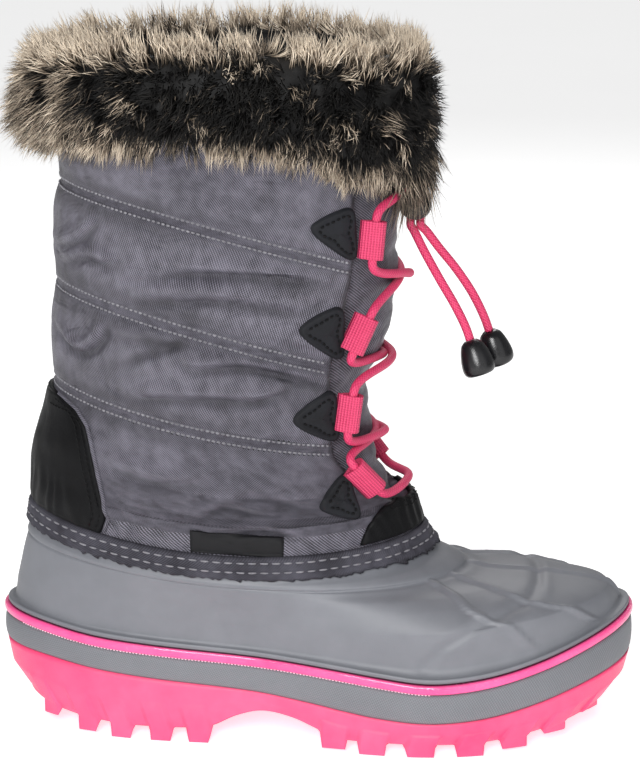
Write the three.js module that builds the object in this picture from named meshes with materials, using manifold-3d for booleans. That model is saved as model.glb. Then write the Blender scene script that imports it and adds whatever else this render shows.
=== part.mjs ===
// Child's snow boot for the right foot: a lugged sole unit, a moulded rubber shell with a ribbed toe,
// a quilted nylon shaft with a laced front and a deep fur collar.
// Millimetres: X towards the toe, Y towards the inner side of the foot, Z up.
// The origin is on the floor under the middle of the heel.
import * as THREE from "three";
import { mergeVertices } from "three/addons/utils/BufferGeometryUtils.js";
import Module from "manifold-3d";

const wasm = await Module();
wasm.setup();

// Lengths, widths and heights of the whole boot
const soleLength = 240;
const heelSetback = 38; // from the origin back to the end of the heel
const ballHalfWidth = 46;
const stackHeight = 40; // nominal height of the sole unit, which SIDE shares out
const rimHeight = 257; // nominal height of the shaft's top edge, which SECTIONS shares out

// Walls and fits
const clearance = 0.3; // between pieces that touch
const shellWall = 2.6;
const shaftWall = 3.6;
const leatherThickness = 1.2;
const bindingThickness = 1.5;
const labelThickness = 0.8;
const quiltPuff = 1.6; // how far the padding swells between two seams

// Sole unit
const lugDraft = 1; // how much narrower a lug is at the floor
const lugProud = 0.9; // how far a lug's column stands out of the side wall
const soleTuck = 2.4; // how far the tread's edge is drawn in under the side wall
const endTuck = 7; // the same at the heel's back and the toe
const bandBulge = 0.8;
const pipingHeight = 3.4;
const pipingWidth = 2.6;
const pipingProud = 1;
const ledgeHeight = 2;
const ledgeWidth = 2.2;
const insoleThickness = 4;

// Shell trim
const ribWidth = 4.4;
const ribHeight = 1.1;
const lipProud = 0.8; // the shell's thicker collar lip

// Lacing
const cordDiameter = 3.3;
const cordEndLength = 13.5;
const cordEndDiameter = 12.2;
const loopLength = 14.2; // along the throat's edge, the webbing's width
const loopDepth = 8.8; // how far the webbing stands forward of its patch
const loopThickness = 6.8;
const webbingThickness = 0.9;
const gussetThickness = 1.5;
const gussetSink = 5.5; // the gusset's face lies this far behind the shaft's own line
const lockRadius = 6;
const lockLength = 12;
const lockWall = 1.2;
const buttonRadius = 4.4;
const buttonProud = 4;
const buttonTravel = 3;

// Samples
const ROUND = 32; // points round each section
const CORD_SIDES = 6;
const SIDE_PRISM_REACH = 2 * ballHalfWidth; // half depth of a cutter that spans the boot

// Plan of the sole: at is the share of its length from the heel. half is the half width as a share of
// the ball's half width over the sine that closes both ends, and swing shifts the middle line inwards.
const PLAN = [
  { at: 0.0, half: 1.02, swing: 0.0 },
  { at: 0.08, half: 0.97, swing: 0.0 },
  { at: 0.2, half: 0.885, swing: 0.0 },
  { at: 0.4, half: 0.775, swing: -0.035 },
  { at: 0.55, half: 0.875, swing: -0.07 },
  { at: 0.68, half: 1.06, swing: -0.035 },
  { at: 0.8, half: 1.18, swing: 0.02 },
  { at: 0.92, half: 1.24, swing: 0.075 },
  { at: 1.0, half: 1.26, swing: 0.11 },
];

// Side of the sole unit, in shares of the stack height: base is the tread's ground between lugs,
// band is the foot of the grey band, and rim is its top, where the piping lies.
const SIDE = [
  { at: 0.0, base: 0.36, band: 0.783, rim: 1.043 },
  { at: 0.075, base: 0.215, band: 0.75, rim: 0.985 },
  { at: 0.158, base: 0.135, band: 0.675, rim: 0.905 },
  { at: 0.242, base: 0.125, band: 0.625, rim: 0.86 },
  { at: 0.329, base: 0.155, band: 0.58, rim: 0.82 },
  { at: 0.375, base: 0.275, band: 0.556, rim: 0.8 },
  { at: 0.417, base: 0.335, band: 0.53, rim: 0.78 },
  { at: 0.467, base: 0.29, band: 0.49, rim: 0.755 },
  { at: 0.512, base: 0.19, band: 0.45, rim: 0.73 },
  { at: 0.55, base: 0.12, band: 0.41, rim: 0.705 },
  { at: 0.6, base: 0.11, band: 0.365, rim: 0.67 },
  { at: 0.683, base: 0.105, band: 0.333, rim: 0.625 },
  { at: 0.767, base: 0.11, band: 0.372, rim: 0.67 },
  { at: 0.85, base: 0.155, band: 0.472, rim: 0.78 },
  { at: 0.925, base: 0.235, band: 0.59, rim: 0.915 },
  { at: 1.0, base: 0.38, band: 0.7, rim: 1.06 },
];

// Lugs along each edge: at is the share of the length, width the share along the edge, and rise how
// far the lug's foot is off the floor, as a share of the stack height.
const LUGS = [
  { at: 0.049, width: 0.037, rise: 0.12 },
  { at: 0.115, width: 0.038, rise: 0.03 },
  { at: 0.174, width: 0.04, rise: 0 },
  { at: 0.242, width: 0.04, rise: 0 },
  { at: 0.307, width: 0.041, rise: 0 },
  { at: 0.535, width: 0.046, rise: 0.035 },
  { at: 0.6, width: 0.048, rise: 0 },
  { at: 0.68, width: 0.051, rise: 0 },
  { at: 0.763, width: 0.05, rise: 0 },
  { at: 0.836, width: 0.049, rise: 0.045 },
  { at: 0.904, width: 0.048, rise: 0.13 },
  { at: 0.966, width: 0.046, rise: 0.245 },
];

// Blocks down the middle of the tread: at and long along the sole, wide across it, in shares of the
// length, with the same rise.
const MIDDLE_BLOCKS = [
  { at: 0.165, long: 0.055, wide: 0.075, rise: 0 },
  { at: 0.275, long: 0.055, wide: 0.075, rise: 0 },
  { at: 0.575, long: 0.05, wide: 0.085, rise: 0.02 },
  { at: 0.668, long: 0.055, wide: 0.11, rise: 0 },
  { at: 0.765, long: 0.055, wide: 0.12, rise: 0 },
  { at: 0.86, long: 0.045, wide: 0.095, rise: 0.09 },
];

// Sections of the upper from the sole's rim to the shaft's top edge. back and front are places along
// the sole as shares of its length, half is a share of the ball's half width, foot says how far the
// section keeps the sole's plan, seat how far it follows the sole's rim, and the three heights, in
// shares of the rim height, hold at the back, the sides and the front.
const SECTIONS = [
  { name: "rim", back: 0.0125, front: 0.9875, half: 0.935, foot: 1, seat: 1, zBack: 0.19, zSide: 0.14, zFront: 0.19 },
  { name: "roll", back: 0.019, front: 0.963, half: 0.955, foot: 0.95, seat: 0, zBack: 0.214, zSide: 0.15, zFront: 0.211 },
  { name: "toe", back: 0.025, front: 0.888, half: 0.945, foot: 0.82, seat: 0, zBack: 0.238, zSide: 0.18, zFront: 0.2255 },
  { name: "vamp", back: 0.03, front: 0.825, half: 0.93, foot: 0.6, seat: 0, zBack: 0.26, zSide: 0.204, zFront: 0.232 },
  { name: "lip", back: 0.036, front: 0.758, half: 0.91, foot: 0.35, seat: 0, zBack: 0.281, zSide: 0.22, zFront: 0.239 },
  { name: "shellTop", back: 0.0455, front: 0.688, half: 0.885, foot: 0.12, seat: 0, zBack: 0.3055, zSide: 0.233, zFront: 0.27 },
  { name: "bound", back: 0.05, front: 0.665, half: 0.872, foot: 0, seat: 0, zBack: 0.341, zSide: 0.268, zFront: 0.305 },
  { name: "ankle", back: 0.0635, front: 0.628, half: 0.86, foot: 0, seat: 0, zBack: 0.42, zSide: 0.355, zFront: 0.372 },
  { name: "seam3", back: 0.086, front: 0.605, half: 0.868, foot: 0, seat: 0, zBack: 0.525, zSide: 0.465, zFront: 0.43 },
  { name: "seam2", back: 0.092, front: 0.61, half: 0.92, foot: 0, seat: 0, zBack: 0.671, zSide: 0.624, zFront: 0.535 },
  { name: "seam1", back: 0.102, front: 0.638, half: 0.955, foot: 0, seat: 0, zBack: 0.817, zSide: 0.774, zFront: 0.682 },
  { name: "furFoot", back: 0.1035, front: 0.636, half: 0.975, foot: 0, seat: 0, zBack: 0.9, zSide: 0.875, zFront: 0.815 },
  { name: "top", back: 0.106, front: 0.633, half: 0.98, foot: 0, seat: 0, zBack: 0.97, zSide: 0.97, zFront: 0.955 },
];
const LEVEL = Object.fromEntries(SECTIONS.map((row, index) => [row.name, index]));
const SHELL_TOP = LEVEL.shellTop + 0.5; // the shell ends under the binding
const BINDING_FOOT = LEVEL.shellTop;
const BINDING_TOP = LEVEL.bound;

// Ribs over the toe, in degrees round the section from the heel, at the rim, part way and at the lip
const RIBS = [
  { rim: 136, middle: 130, lip: 147 },
  { rim: 158, middle: 147, lip: 159 },
  { rim: 180, middle: 180, lip: 180 },
  { rim: 202, middle: 213, lip: 201 },
  { rim: 224, middle: 230, lip: 213 },
];

// Throat seen from the front: half widths as shares of the ball's half width, up the rim height
const THROAT = [
  { up: 0.345, half: 0.12 },
  { up: 0.352, half: 0.3 },
  { up: 0.375, half: 0.48 },
  { up: 0.43, half: 0.61 },
  { up: 0.56, half: 0.68 },
  { up: 1.1, half: 0.68 },
];

// Lace loops from the top down: up is the middle's height, and half its distance from the middle
const LOOPS = [
  { up: 0.75, half: 0.62, lean: 6 },
  { up: 0.617, half: 0.61, lean: 14 },
  { up: 0.5, half: 0.585, lean: 0 },
  { up: 0.393, half: 0.5, lean: -28 },
];

// Foot and top of the gusset, as shares of the rim height
const GUSSET = { foot: 0.335, top: 0.895 };

// How far the gusset's folds stand out in front of its own line, as shares of the ball's half width
const FOLDS = [
  { up: 0.3, out: 0 },
  { up: 0.4, out: 0.03 },
  { up: 0.455, out: 0.01 },
  { up: 0.52, out: -0.045 },
  { up: 0.58, out: 0.06 },
  { up: 0.65, out: 0.045 },
  { up: 0.71, out: 0.03 },
  { up: 0.8, out: 0.05 },
  { up: 1.0, out: 0 },
];

// Lace patches seen from the side, each a rounded triangle: along is a share of the sole's length
// from the heel, and up a share of the rim height. round says how full each side is.
const PATCHES = [
  { tip: [0.49, 0.772], top: [0.556, 0.8], foot: [0.562, 0.716] },
  { tip: [0.472, 0.627], top: [0.541, 0.66], foot: [0.542, 0.572] },
  { tip: [0.462, 0.493], top: [0.528, 0.536], foot: [0.535, 0.452] },
  { tip: [0.502, 0.36], top: [0.546, 0.41], foot: [0.57, 0.335] },
];

// Outlines of the leather trims seen from the side
const COUNTER = [
  [-0.1, 0.56],
  [0.05, 0.53],
  [0.1, 0.505],
  [0.134, 0.486],
  [0.148, 0.46],
  [0.154, 0.43],
  [0.16, 0.397],
  [0.169, 0.354],
  [0.18, 0.3],
  [0.181, 0.27],
  [-0.1, 0.27],
];
const VAMP_PATCH = [
  [0.615, 0.5],
  [0.612, 0.36],
  [0.597, 0.32],
  [0.578, 0.28],
  [0.574, 0.265],
  [0.8, 0.265],
  [0.8, 0.5],
];
const LABEL = { from: 0.313, to: 0.455, foot: [0.3, 0.291], top: [0.333, 0.321] };

// Fur collar round the boot, in degrees from the heel: foot and top heights as shares of the rim
// height, and how far it stands out
const FUR = [
  { degrees: 0, foot: 0.87, top: 1.005, out: 17 },
  { degrees: 50, foot: 0.885, top: 1.02, out: 16 },
  { degrees: 100, foot: 0.885, top: 1.024, out: 15 },
  { degrees: 135, foot: 0.835, top: 1.02, out: 14 },
  { degrees: 160, foot: 0.838, top: 1.015, out: 13 },
  { degrees: 180, foot: 0.845, top: 1.005, out: 12 },
];
const furInside = 4.5; // how thick the fur is inside the top edge
const furInsideDepth = 16;
const lockCount = 16; // tufts round each edge of the collar

// Helpers

// Value of a column at a place, on a smooth curve through the table's rows
function column(rows, key, place, axis = "at") {
  let i = 0;
  while (i < rows.length - 2 && place > rows[i + 1][axis]) i += 1;
  const a = rows[Math.max(i - 1, 0)];
  const b = rows[i];
  const c = rows[i + 1];
  const d = rows[Math.min(i + 2, rows.length - 1)];
  const span = c[axis] - b[axis];
  const t = Math.min(Math.max((place - b[axis]) / span, 0), 1);
  const slopeB = ((c[key] - a[key]) / (c[axis] - a[axis])) * span;
  const slopeC = ((d[key] - b[key]) / (d[axis] - b[axis])) * span;
  const t2 = t * t;
  const t3 = t2 * t;
  return (
    (2 * t3 - 3 * t2 + 1) * b[key] + (t3 - 2 * t2 + t) * slopeB + (3 * t2 - 2 * t3) * c[key] + (t3 - t2) * slopeC
  );
}

// Where a share of the sole's length lies on X
function along(share) {
  return soleLength * share - heelSetback;
}

function shareAt(x) {
  return (x + heelSetback) / soleLength;
}

function sideHeight(key, x) {
  return stackHeight * column(SIDE, key, shareAt(x));
}

// A closed triangle mesh as a solid with its faces pointing out
function solidOf(positions, triangles) {
  const geometry = new THREE.BufferGeometry();
  geometry.setAttribute("position", new THREE.Float32BufferAttribute(positions, 3));
  if (triangles) geometry.setIndex(triangles);
  const merged = mergeVertices(geometry, 1e-3);
  const vertProperties = new Float32Array(merged.attributes.position.array);
  const build = (order) =>
    new wasm.Manifold(new wasm.Mesh({ numProp: 3, vertProperties, triVerts: Uint32Array.from(order) }));
  const order = Array.from(merged.index.array);
  const made = build(order);
  if (made.volume() > 0) return made;
  const turned = [];
  for (let i = 0; i < order.length; i += 3) turned.push(order[i], order[i + 2], order[i + 1]);
  return build(turned);
}

function solidOfGeometry(geometry) {
  const bare = geometry.clone();
  bare.deleteAttribute("normal");
  bare.deleteAttribute("uv");
  const merged = mergeVertices(bare, 1e-3);
  return solidOf(Array.from(merged.attributes.position.array), Array.from(merged.index.array));
}

// Rings of equal length joined side by side; closed joins the last to the first, as in a tube's
// wall, and otherwise both ends are capped from side to side
function solidOfRings(rings, closed) {
  const count = rings[0].length;
  const positions = rings.flat().flatMap((p) => [p.x, p.y, p.z]);
  const triangles = [];
  const bands = closed ? rings.length : rings.length - 1;
  for (let k = 0; k < bands; k += 1) {
    const next = (k + 1) % rings.length;
    for (let i = 0; i < count; i += 1) {
      const j = (i + 1) % count;
      const a = k * count + i;
      const b = k * count + j;
      const c = next * count + i;
      const d = next * count + j;
      triangles.push(a, b, d, a, d, c);
    }
  }
  if (!closed) {
    capRing(triangles, 0, count, true);
    capRing(triangles, (rings.length - 1) * count, count, false);
  }
  return solidOf(positions, triangles);
}

// Strips across a ring between points that lie opposite each other
function capRing(triangles, first, count, turned) {
  const half = count / 2;
  const add = (a, b, c) => triangles.push(first + a, first + (turned ? c : b), first + (turned ? b : c));
  for (let i = 0; i < half; i += 1) {
    const far = (count - i) % count;
    const farNext = count - i - 1;
    if (i > 0) add(i, i + 1, far);
    if (i + 1 < half) add(i + 1, farNext, far);
  }
}

// A grid of points on the outside and another on the inside, joined round the edges
function solidOfGrids(outside, inside) {
  const rows = outside.length;
  const columns = outside[0].length;
  const positions = [...outside.flat(), ...inside.flat()].flatMap((p) => [p.x, p.y, p.z]);
  const at = (side, r, c) => side * rows * columns + r * columns + c;
  const triangles = [];
  const quad = (a, b, c, d) => triangles.push(a, b, c, a, c, d);
  for (let r = 0; r < rows - 1; r += 1) {
    for (let c = 0; c < columns - 1; c += 1) {
      quad(at(0, r, c), at(0, r, c + 1), at(0, r + 1, c + 1), at(0, r + 1, c));
      quad(at(1, r, c), at(1, r + 1, c), at(1, r + 1, c + 1), at(1, r, c + 1));
    }
  }
  for (let r = 0; r < rows - 1; r += 1) {
    quad(at(0, r, 0), at(0, r + 1, 0), at(1, r + 1, 0), at(1, r, 0));
    quad(at(0, r + 1, columns - 1), at(0, r, columns - 1), at(1, r, columns - 1), at(1, r + 1, columns - 1));
  }
  for (let c = 0; c < columns - 1; c += 1) {
    quad(at(0, 0, c + 1), at(0, 0, c), at(1, 0, c), at(1, 0, c + 1));
    quad(at(0, rows - 1, c), at(0, rows - 1, c + 1), at(1, rows - 1, c + 1), at(1, rows - 1, c));
  }
  return solidOf(positions, triangles);
}

// An outline drawn along X and up Z, run across the boot from one Y to another
function sidePrism(outline, fromY, toY) {
  const shape = new THREE.Shape(outline.map(([x, z]) => new THREE.Vector2(x, z)));
  const geometry = new THREE.ExtrudeGeometry(shape, { depth: toY - fromY, bevelEnabled: false });
  const place = geometry.attributes.position;
  for (let i = 0; i < place.count; i += 1) {
    place.setXYZ(i, place.getX(i), fromY + place.getZ(i), place.getY(i));
  }
  return solidOfGeometry(geometry);
}

// An outline drawn along Y and up Z, run from one X to another
function frontPrism(outline, fromX, toX) {
  const shape = new THREE.Shape(outline.map(([y, z]) => new THREE.Vector2(y, z)));
  const geometry = new THREE.ExtrudeGeometry(shape, { depth: toX - fromX, bevelEnabled: false });
  const place = geometry.attributes.position;
  for (let i = 0; i < place.count; i += 1) {
    place.setXYZ(i, fromX + place.getZ(i), place.getX(i), place.getY(i));
  }
  return solidOfGeometry(geometry);
}

// A closed section swept along a smooth curve through points chosen by hand
function tubeAlong(points, radius, sides, steps) {
  const section = new THREE.Shape();
  for (let i = 0; i < sides; i += 1) {
    const turn = (2 * Math.PI * i) / sides;
    const corner = [radius * Math.cos(turn), radius * Math.sin(turn)];
    if (i === 0) section.moveTo(...corner);
    else section.lineTo(...corner);
  }
  section.closePath();
  const extrudePath = new THREE.CatmullRomCurve3(points, false, "centripetal");
  return solidOfGeometry(new THREE.ExtrudeGeometry(section, { steps, extrudePath, bevelEnabled: false }));
}

function angles() {
  return Array.from({ length: ROUND }, (_, i) => (2 * Math.PI * i) / ROUND);
}

// A point of the sole's plan, drawn in from its edge at the back, the front and the sides
function planPoint(turn, inset, endInset = inset) {
  const share = (1 - Math.cos(turn)) / 2;
  const x = along(0) + endInset + (soleLength - 2 * endInset) * share;
  const at = shareAt(x);
  const half = (ballHalfWidth - inset) * column(PLAN, "half", at) * Math.sin(turn);
  return new THREE.Vector2(x, ballHalfWidth * column(PLAN, "swing", at) - half);
}

function planRing(inset, height, endInset = inset) {
  return angles().map((turn) => {
    const p = planPoint(turn, inset, endInset);
    return new THREE.Vector3(p.x, p.y, height(p.x));
  });
}

const SECTION_ROWS = SECTIONS.map((row, index) => ({ ...row, index }));

// A point of the upper's outer surface: level counts the sections, turn goes round from the heel
// past the outer side. Its height is the side's, drawn to the back's and the front's by squares.
function upperPoint(level, turn) {
  const at = (key) => column(SECTION_ROWS, key, level, "index");
  const share = (1 - Math.cos(turn)) / 2;
  const back = along(at("back"));
  const x = back + (along(at("front")) - back) * share;
  const foot = at("foot");
  const fullness = foot * column(PLAN, "half", shareAt(x)) + (1 - foot);
  const swing = foot * ballHalfWidth * column(PLAN, "swing", shareAt(x));
  const y = swing - ballHalfWidth * at("half") * fullness * Math.sin(turn);
  const side = at("zSide");
  const free = side + (at("zBack") - side) * (1 - share) ** 2 + (at("zFront") - side) * share ** 2;
  const seat = Math.max(at("seat"), 0);
  const seated = sideHeight("rim", x) + pipingHeight + ledgeHeight + 2 * clearance;
  return new THREE.Vector3(x, y, seat * seated + (1 - seat) * rimHeight * free);
}

// The same surface moved out by an offset along its own normal
function skinPoint(level, turn, offset) {
  const p = upperPoint(level, turn);
  if (offset === 0) return p;
  const levelStep = 0.02;
  const turnStep = 0.002;
  const low = Math.max(level - levelStep, 0);
  const high = Math.min(level + levelStep, SECTIONS.length - 1);
  const up = upperPoint(high, turn).sub(upperPoint(low, turn));
  const round = upperPoint(level, turn + turnStep).sub(upperPoint(level, turn - turnStep));
  return p.addScaledVector(round.cross(up).normalize(), offset);
}

// Level at which the upper's surface reaches a height, found by halving
function levelAt(height, turn) {
  let low = LEVEL.shellTop;
  let high = SECTIONS.length - 1;
  for (let i = 0; i < 24; i += 1) {
    const middle = (low + high) / 2;
    if (upperPoint(middle, turn).z < height) low = middle;
    else high = middle;
  }
  return (low + high) / 2;
}

// Turn at which the surface at a height lies a distance from the middle; side is -1 outer, 1 inner
function turnAt(height, half, side) {
  let low = Math.PI / 2;
  let high = Math.PI;
  for (let i = 0; i < 24; i += 1) {
    const middle = (low + high) / 2;
    if (-upperPoint(levelAt(height, middle), middle).y > half) low = middle;
    else high = middle;
  }
  const turn = (low + high) / 2;
  return side < 0 ? turn : 2 * Math.PI - turn;
}

// Padding between seams: nothing at each whole level of the shaft, full between
function puffAt(level) {
  if (level < LEVEL.bound || level > LEVEL.furFoot) return 0;
  const from = level < LEVEL.seam3 ? LEVEL.bound : Math.floor(level);
  const to = level < LEVEL.seam3 ? LEVEL.seam3 : from + 1;
  return quiltPuff * Math.sin((Math.PI * (level - from)) / (to - from)) ** 0.6;
}

function skinRing(level, offset) {
  return angles().map((turn) => skinPoint(level, turn, offset));
}

// Levels of the shaft's outer rings, closer by the seams
const SHAFT_LEVELS = [SHELL_TOP + 0.04, LEVEL.bound, 6.4, 7, 7.7, 8, 8.25, 8.75, 9, 9.25, 9.75, 10, 10.4, 11, 12];

// The space inside the shaft's outer surface moved out by an offset, for cutting trims
function shaftForm(offset) {
  const foot = LEVEL.toe;
  const levels = [foot, LEVEL.vamp, LEVEL.lip, LEVEL.shellTop, ...SHAFT_LEVELS];
  return solidOfRings(
    levels.map((level) => skinRing(level, puffAt(level) + offset)),
    false,
  );
}

// A point moved straight out from the shaft, level with itself
function levelOut(level, turn, offset) {
  const p = upperPoint(level, turn);
  const out = skinPoint(level, turn, 1).sub(p).setZ(0).normalize();
  return p.addScaledVector(out, offset);
}

// Everything round the shaft below the binding's top edge
function bindingZone() {
  const levels = [LEVEL.toe, LEVEL.lip, BINDING_FOOT, BINDING_TOP + 0.12];
  return solidOfRings(
    levels.map((level) => angles().map((turn) => levelOut(level, turn, 2 * shaftWall))),
    false,
  );
}

// A trim of some thickness on the shaft, cut between two forms by an outline
function trimOnShaft(cutter, thickness) {
  const skin = shaftForm(clearance + thickness).subtract(shaftForm(clearance));
  return skin.intersect(cutter).subtract(bindingZone());
}

function outlineOnSide(points) {
  return points.map(([share, up]) => [along(share), rimHeight * up]);
}

// Materials
const finish = (color, roughness, metalness = 0) => new THREE.MeshStandardMaterial({ color, roughness, metalness });
const MATERIALS = {
  pinkRubber: () => finish(0xfb6fa4, 0.55),
  greyRubber: () => finish(0x8c9094, 0.6),
  bandRubber: () => finish(0x7f8386, 0.8),
  nylon: () => finish(0x625f68, 0.75),
  bindingCloth: () => finish(0x55545a, 0.9),
  leather: () => finish(0x2c2e34, 0.5),
  webbing: () => finish(0xe9457b, 0.85),
  cord: () => finish(0xe8487d, 0.8),
  fur: () => finish(0x3a3530, 1),
  felt: () => finish(0x4a4a4c, 1),
  plastic: () => finish(0x141416, 0.3),
  woven: () => finish(0x17181b, 0.8),
};

const boot = new THREE.Group();

// A solid as a named mesh of the boot
function add(name, solid, material) {
  const mesh = solid.getMesh();
  const geometry = new THREE.BufferGeometry();
  geometry.setAttribute("position", new THREE.BufferAttribute(mesh.vertProperties.slice(), 3));
  geometry.setIndex(new THREE.BufferAttribute(mesh.triVerts.slice(), 1));
  const made = new THREE.Mesh(geometry, MATERIALS[material]());
  made.name = name;
  boot.add(made);
}

// Sole unit

// A lug: a block from its foot off the floor to a height, its corners in plan run round in order
function blockOf(corners, foot, top) {
  const middle = corners.reduce((sum, c) => sum.add(c), new THREE.Vector2()).divideScalar(corners.length);
  const drawnIn = corners.map((c) => {
    const out = c.clone().sub(middle);
    return middle.clone().add(out.setLength(out.length() - lugDraft));
  });
  const ring = (points, z) => points.map((p) => new THREE.Vector3(p.x, p.y, z));
  return solidOfRings([ring(drawnIn, foot), ring(corners, top)], false);
}

function edgeLug(row, side) {
  const turn = side * Math.acos(1 - 2 * row.at);
  const step = 0.01;
  const edge = planPoint(turn, 0, endTuck / 3);
  const tangent = planPoint(turn + step, 0, endTuck / 3).sub(planPoint(turn - step, 0, endTuck / 3)).normalize();
  const inward = new THREE.Vector2(-tangent.y, tangent.x);
  const halfWidth = (row.width * soleLength) / 2;
  const depth = 0.62 * Math.abs(edge.y - ballHalfWidth * column(PLAN, "swing", row.at));
  const start = edge.addScaledVector(inward, soleTuck / 2 - lugProud);
  const corner = (across, deep) => start.clone().addScaledVector(tangent, across).addScaledVector(inward, deep);
  const corners = [corner(-halfWidth, 0), corner(halfWidth, 0), corner(0.8 * halfWidth, depth), corner(-0.8 * halfWidth, depth)];
  const low = sideHeight("base", edge.x);
  const top = low + 0.5 * (sideHeight("band", edge.x) - low);
  return blockOf(corners, stackHeight * row.rise, top);
}

function middleBlock(row) {
  const x = along(row.at);
  const y = row.at < 0.4 ? 0 : ballHalfWidth * column(PLAN, "swing", row.at);
  const long = (row.long * soleLength) / 2;
  const wide = (row.wide * soleLength) / 2;
  const corner = (dx, dy) => new THREE.Vector2(x + dx, y + dy);
  const corners = [
    corner(-long, -wide),
    corner(0.4 * long, -wide),
    corner(long, 0),
    corner(0.4 * long, wide),
    corner(-long, wide),
    corner(-0.6 * long, 0),
  ];
  return blockOf(corners, stackHeight * row.rise, sideHeight("base", x) + 2 * clearance);
}

function makeOutsole() {
  const base = (x) => sideHeight("base", x);
  const band = (x) => sideHeight("band", x);
  const between = (share) => (x) => base(x) + share * (band(x) - base(x));
  let body = solidOfRings(
    [
      planRing(soleTuck + 1, base, endTuck + 2),
      planRing(soleTuck, between(0.08), endTuck),
      planRing(soleTuck / 2.5, between(0.5), endTuck / 4),
      planRing(0, band, 0),
    ],
    false,
  );
  for (const row of LUGS) {
    body = body.add(edgeLug(row, 1)).add(edgeLug(row, -1));
  }
  for (const row of MIDDLE_BLOCKS) body = body.add(middleBlock(row));
  return body;
}

function makeBand() {
  const foot = (x) => sideHeight("band", x) + clearance;
  const rim = (x) => sideHeight("rim", x);
  const middle = (x) => (foot(x) + rim(x)) / 2;
  return solidOfRings([planRing(0, foot), planRing(-bandBulge, middle), planRing(0, rim)], false);
}

function makePiping() {
  const foot = (x) => sideHeight("rim", x) + clearance;
  const middle = (x) => foot(x) + pipingHeight / 2;
  const top = (x) => foot(x) + pipingHeight;
  const inner = pipingWidth - pipingProud;
  return solidOfRings(
    [planRing(0, foot), planRing(-pipingProud, middle), planRing(0, top), planRing(inner, top), planRing(inner, foot)],
    true,
  );
}

// Shell: a foot that stands inside the piping, a ledge over it, and the moulded upper
function makeShell() {
  const foot = (x) => sideHeight("rim", x) + clearance;
  const ledgeFoot = (x) => foot(x) + pipingHeight + clearance;
  const ledgeTop = (x) => ledgeFoot(x) + ledgeHeight;
  const footInset = pipingWidth - pipingProud + clearance;
  const upLevels = [0.3, LEVEL.roll, 1.4, LEVEL.toe, LEVEL.vamp, LEVEL.lip + 0.25];
  const lipLevels = [LEVEL.lip + 0.3, LEVEL.lip + 0.65, LEVEL.shellTop];
  const innerLevels = [SHELL_TOP, LEVEL.lip, LEVEL.toe, LEVEL.roll, 0.3];
  const rings = [
    planRing(footInset, foot),
    planRing(footInset, ledgeFoot),
    planRing(ledgeWidth / 4, ledgeFoot),
    planRing(ledgeWidth / 4, ledgeTop),
    planRing(ledgeWidth, ledgeTop),
    ...upLevels.map((level) => skinRing(level, 0)),
    ...lipLevels.map((level) => skinRing(level, level === LEVEL.shellTop ? 0 : lipProud)),
    skinRing(SHELL_TOP, 0),
    ...innerLevels.map((level) => skinRing(level, -shellWall)),
    planRing(footInset + shellWall, foot),
  ];
  let shell = solidOfRings(rings, true);
  for (const rib of RIBS) shell = shell.add(ribOnShell(rib));
  return shell;
}

// A rib over the toe, from the lip to the rim, low at both ends
function ribOnShell(rib) {
  const steps = 7;
  const across = [-0.5, 0, 0.5];
  const line = [
    { at: 0, turn: rib.rim },
    { at: 0.35, turn: rib.middle },
    { at: 1, turn: rib.lip },
  ];
  const outside = [];
  const inside = [];
  for (let i = 0; i < steps; i += 1) {
    const share = i / (steps - 1);
    const level = 0.08 + (LEVEL.lip + 0.35 - 0.08) * share;
    const turn = THREE.MathUtils.degToRad(column(line, "turn", share));
    const step = 0.01;
    const stride = upperPoint(level, turn + step).distanceTo(upperPoint(level, turn)) / step;
    const at = (a, offset) => skinPoint(level, turn + (a * ribWidth) / stride, offset);
    outside.push(across.map((a) => at(a, a === 0 ? ribHeight : -0.1)));
    inside.push(across.map((a) => at(a, -shellWall / 2)));
  }
  return solidOfGrids(outside, inside);
}

function makeInsole() {
  const inset = pipingWidth + shellWall + 1.5;
  const foot = (x) => sideHeight("rim", x) + clearance;
  const top = (x) => foot(x) + insoleThickness;
  return solidOfRings([planRing(inset, foot), planRing(inset, top)], false);
}

// Shaft and its trims

function shaftRings(outset, inset, topOutset) {
  const innerLevels = [LEVEL.top, LEVEL.seam1, LEVEL.seam2, LEVEL.seam3, LEVEL.ankle, SHELL_TOP + 0.04];
  const rise = (ring) => ring.map((p) => p.setZ(p.z + topOutset));
  const outer = SHAFT_LEVELS.map((level) => skinRing(level, puffAt(level) + outset));
  const inner = innerLevels.map((level) => skinRing(level, -shaftWall - inset));
  rise(outer[outer.length - 1]);
  rise(inner[0]);
  return [...outer, ...inner];
}

function makeShaft() {
  const half = (row) => ballHalfWidth * row.half;
  const up = (row) => rimHeight * row.up;
  const outer = THROAT.map((row) => [-half(row), up(row)]);
  const inner = [...THROAT].reverse().map((row) => [half(row), up(row)]);
  const throat = frontPrism([...outer, ...inner], along(0.5), along(1));
  return solidOfRings(shaftRings(0, 0, 0), true).subtract(throat);
}

function makeBinding() {
  const out = lipProud + clearance;
  const ring = (level, offset) => skinRing(level, offset);
  return solidOfRings(
    [
      ring(BINDING_FOOT, out),
      ring(BINDING_FOOT, out + bindingThickness),
      ring((BINDING_FOOT + BINDING_TOP) / 2, out + bindingThickness),
      ring(BINDING_TOP, clearance + bindingThickness),
      ring(BINDING_TOP, clearance),
      ring((BINDING_FOOT + BINDING_TOP) / 2, clearance),
      ring(BINDING_FOOT + 0.08, clearance),
    ],
    true,
  );
}

function makeCounter() {
  const cutter = sidePrism(outlineOnSide(COUNTER), -SIDE_PRISM_REACH, SIDE_PRISM_REACH);
  return trimOnShaft(cutter, leatherThickness);
}

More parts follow.
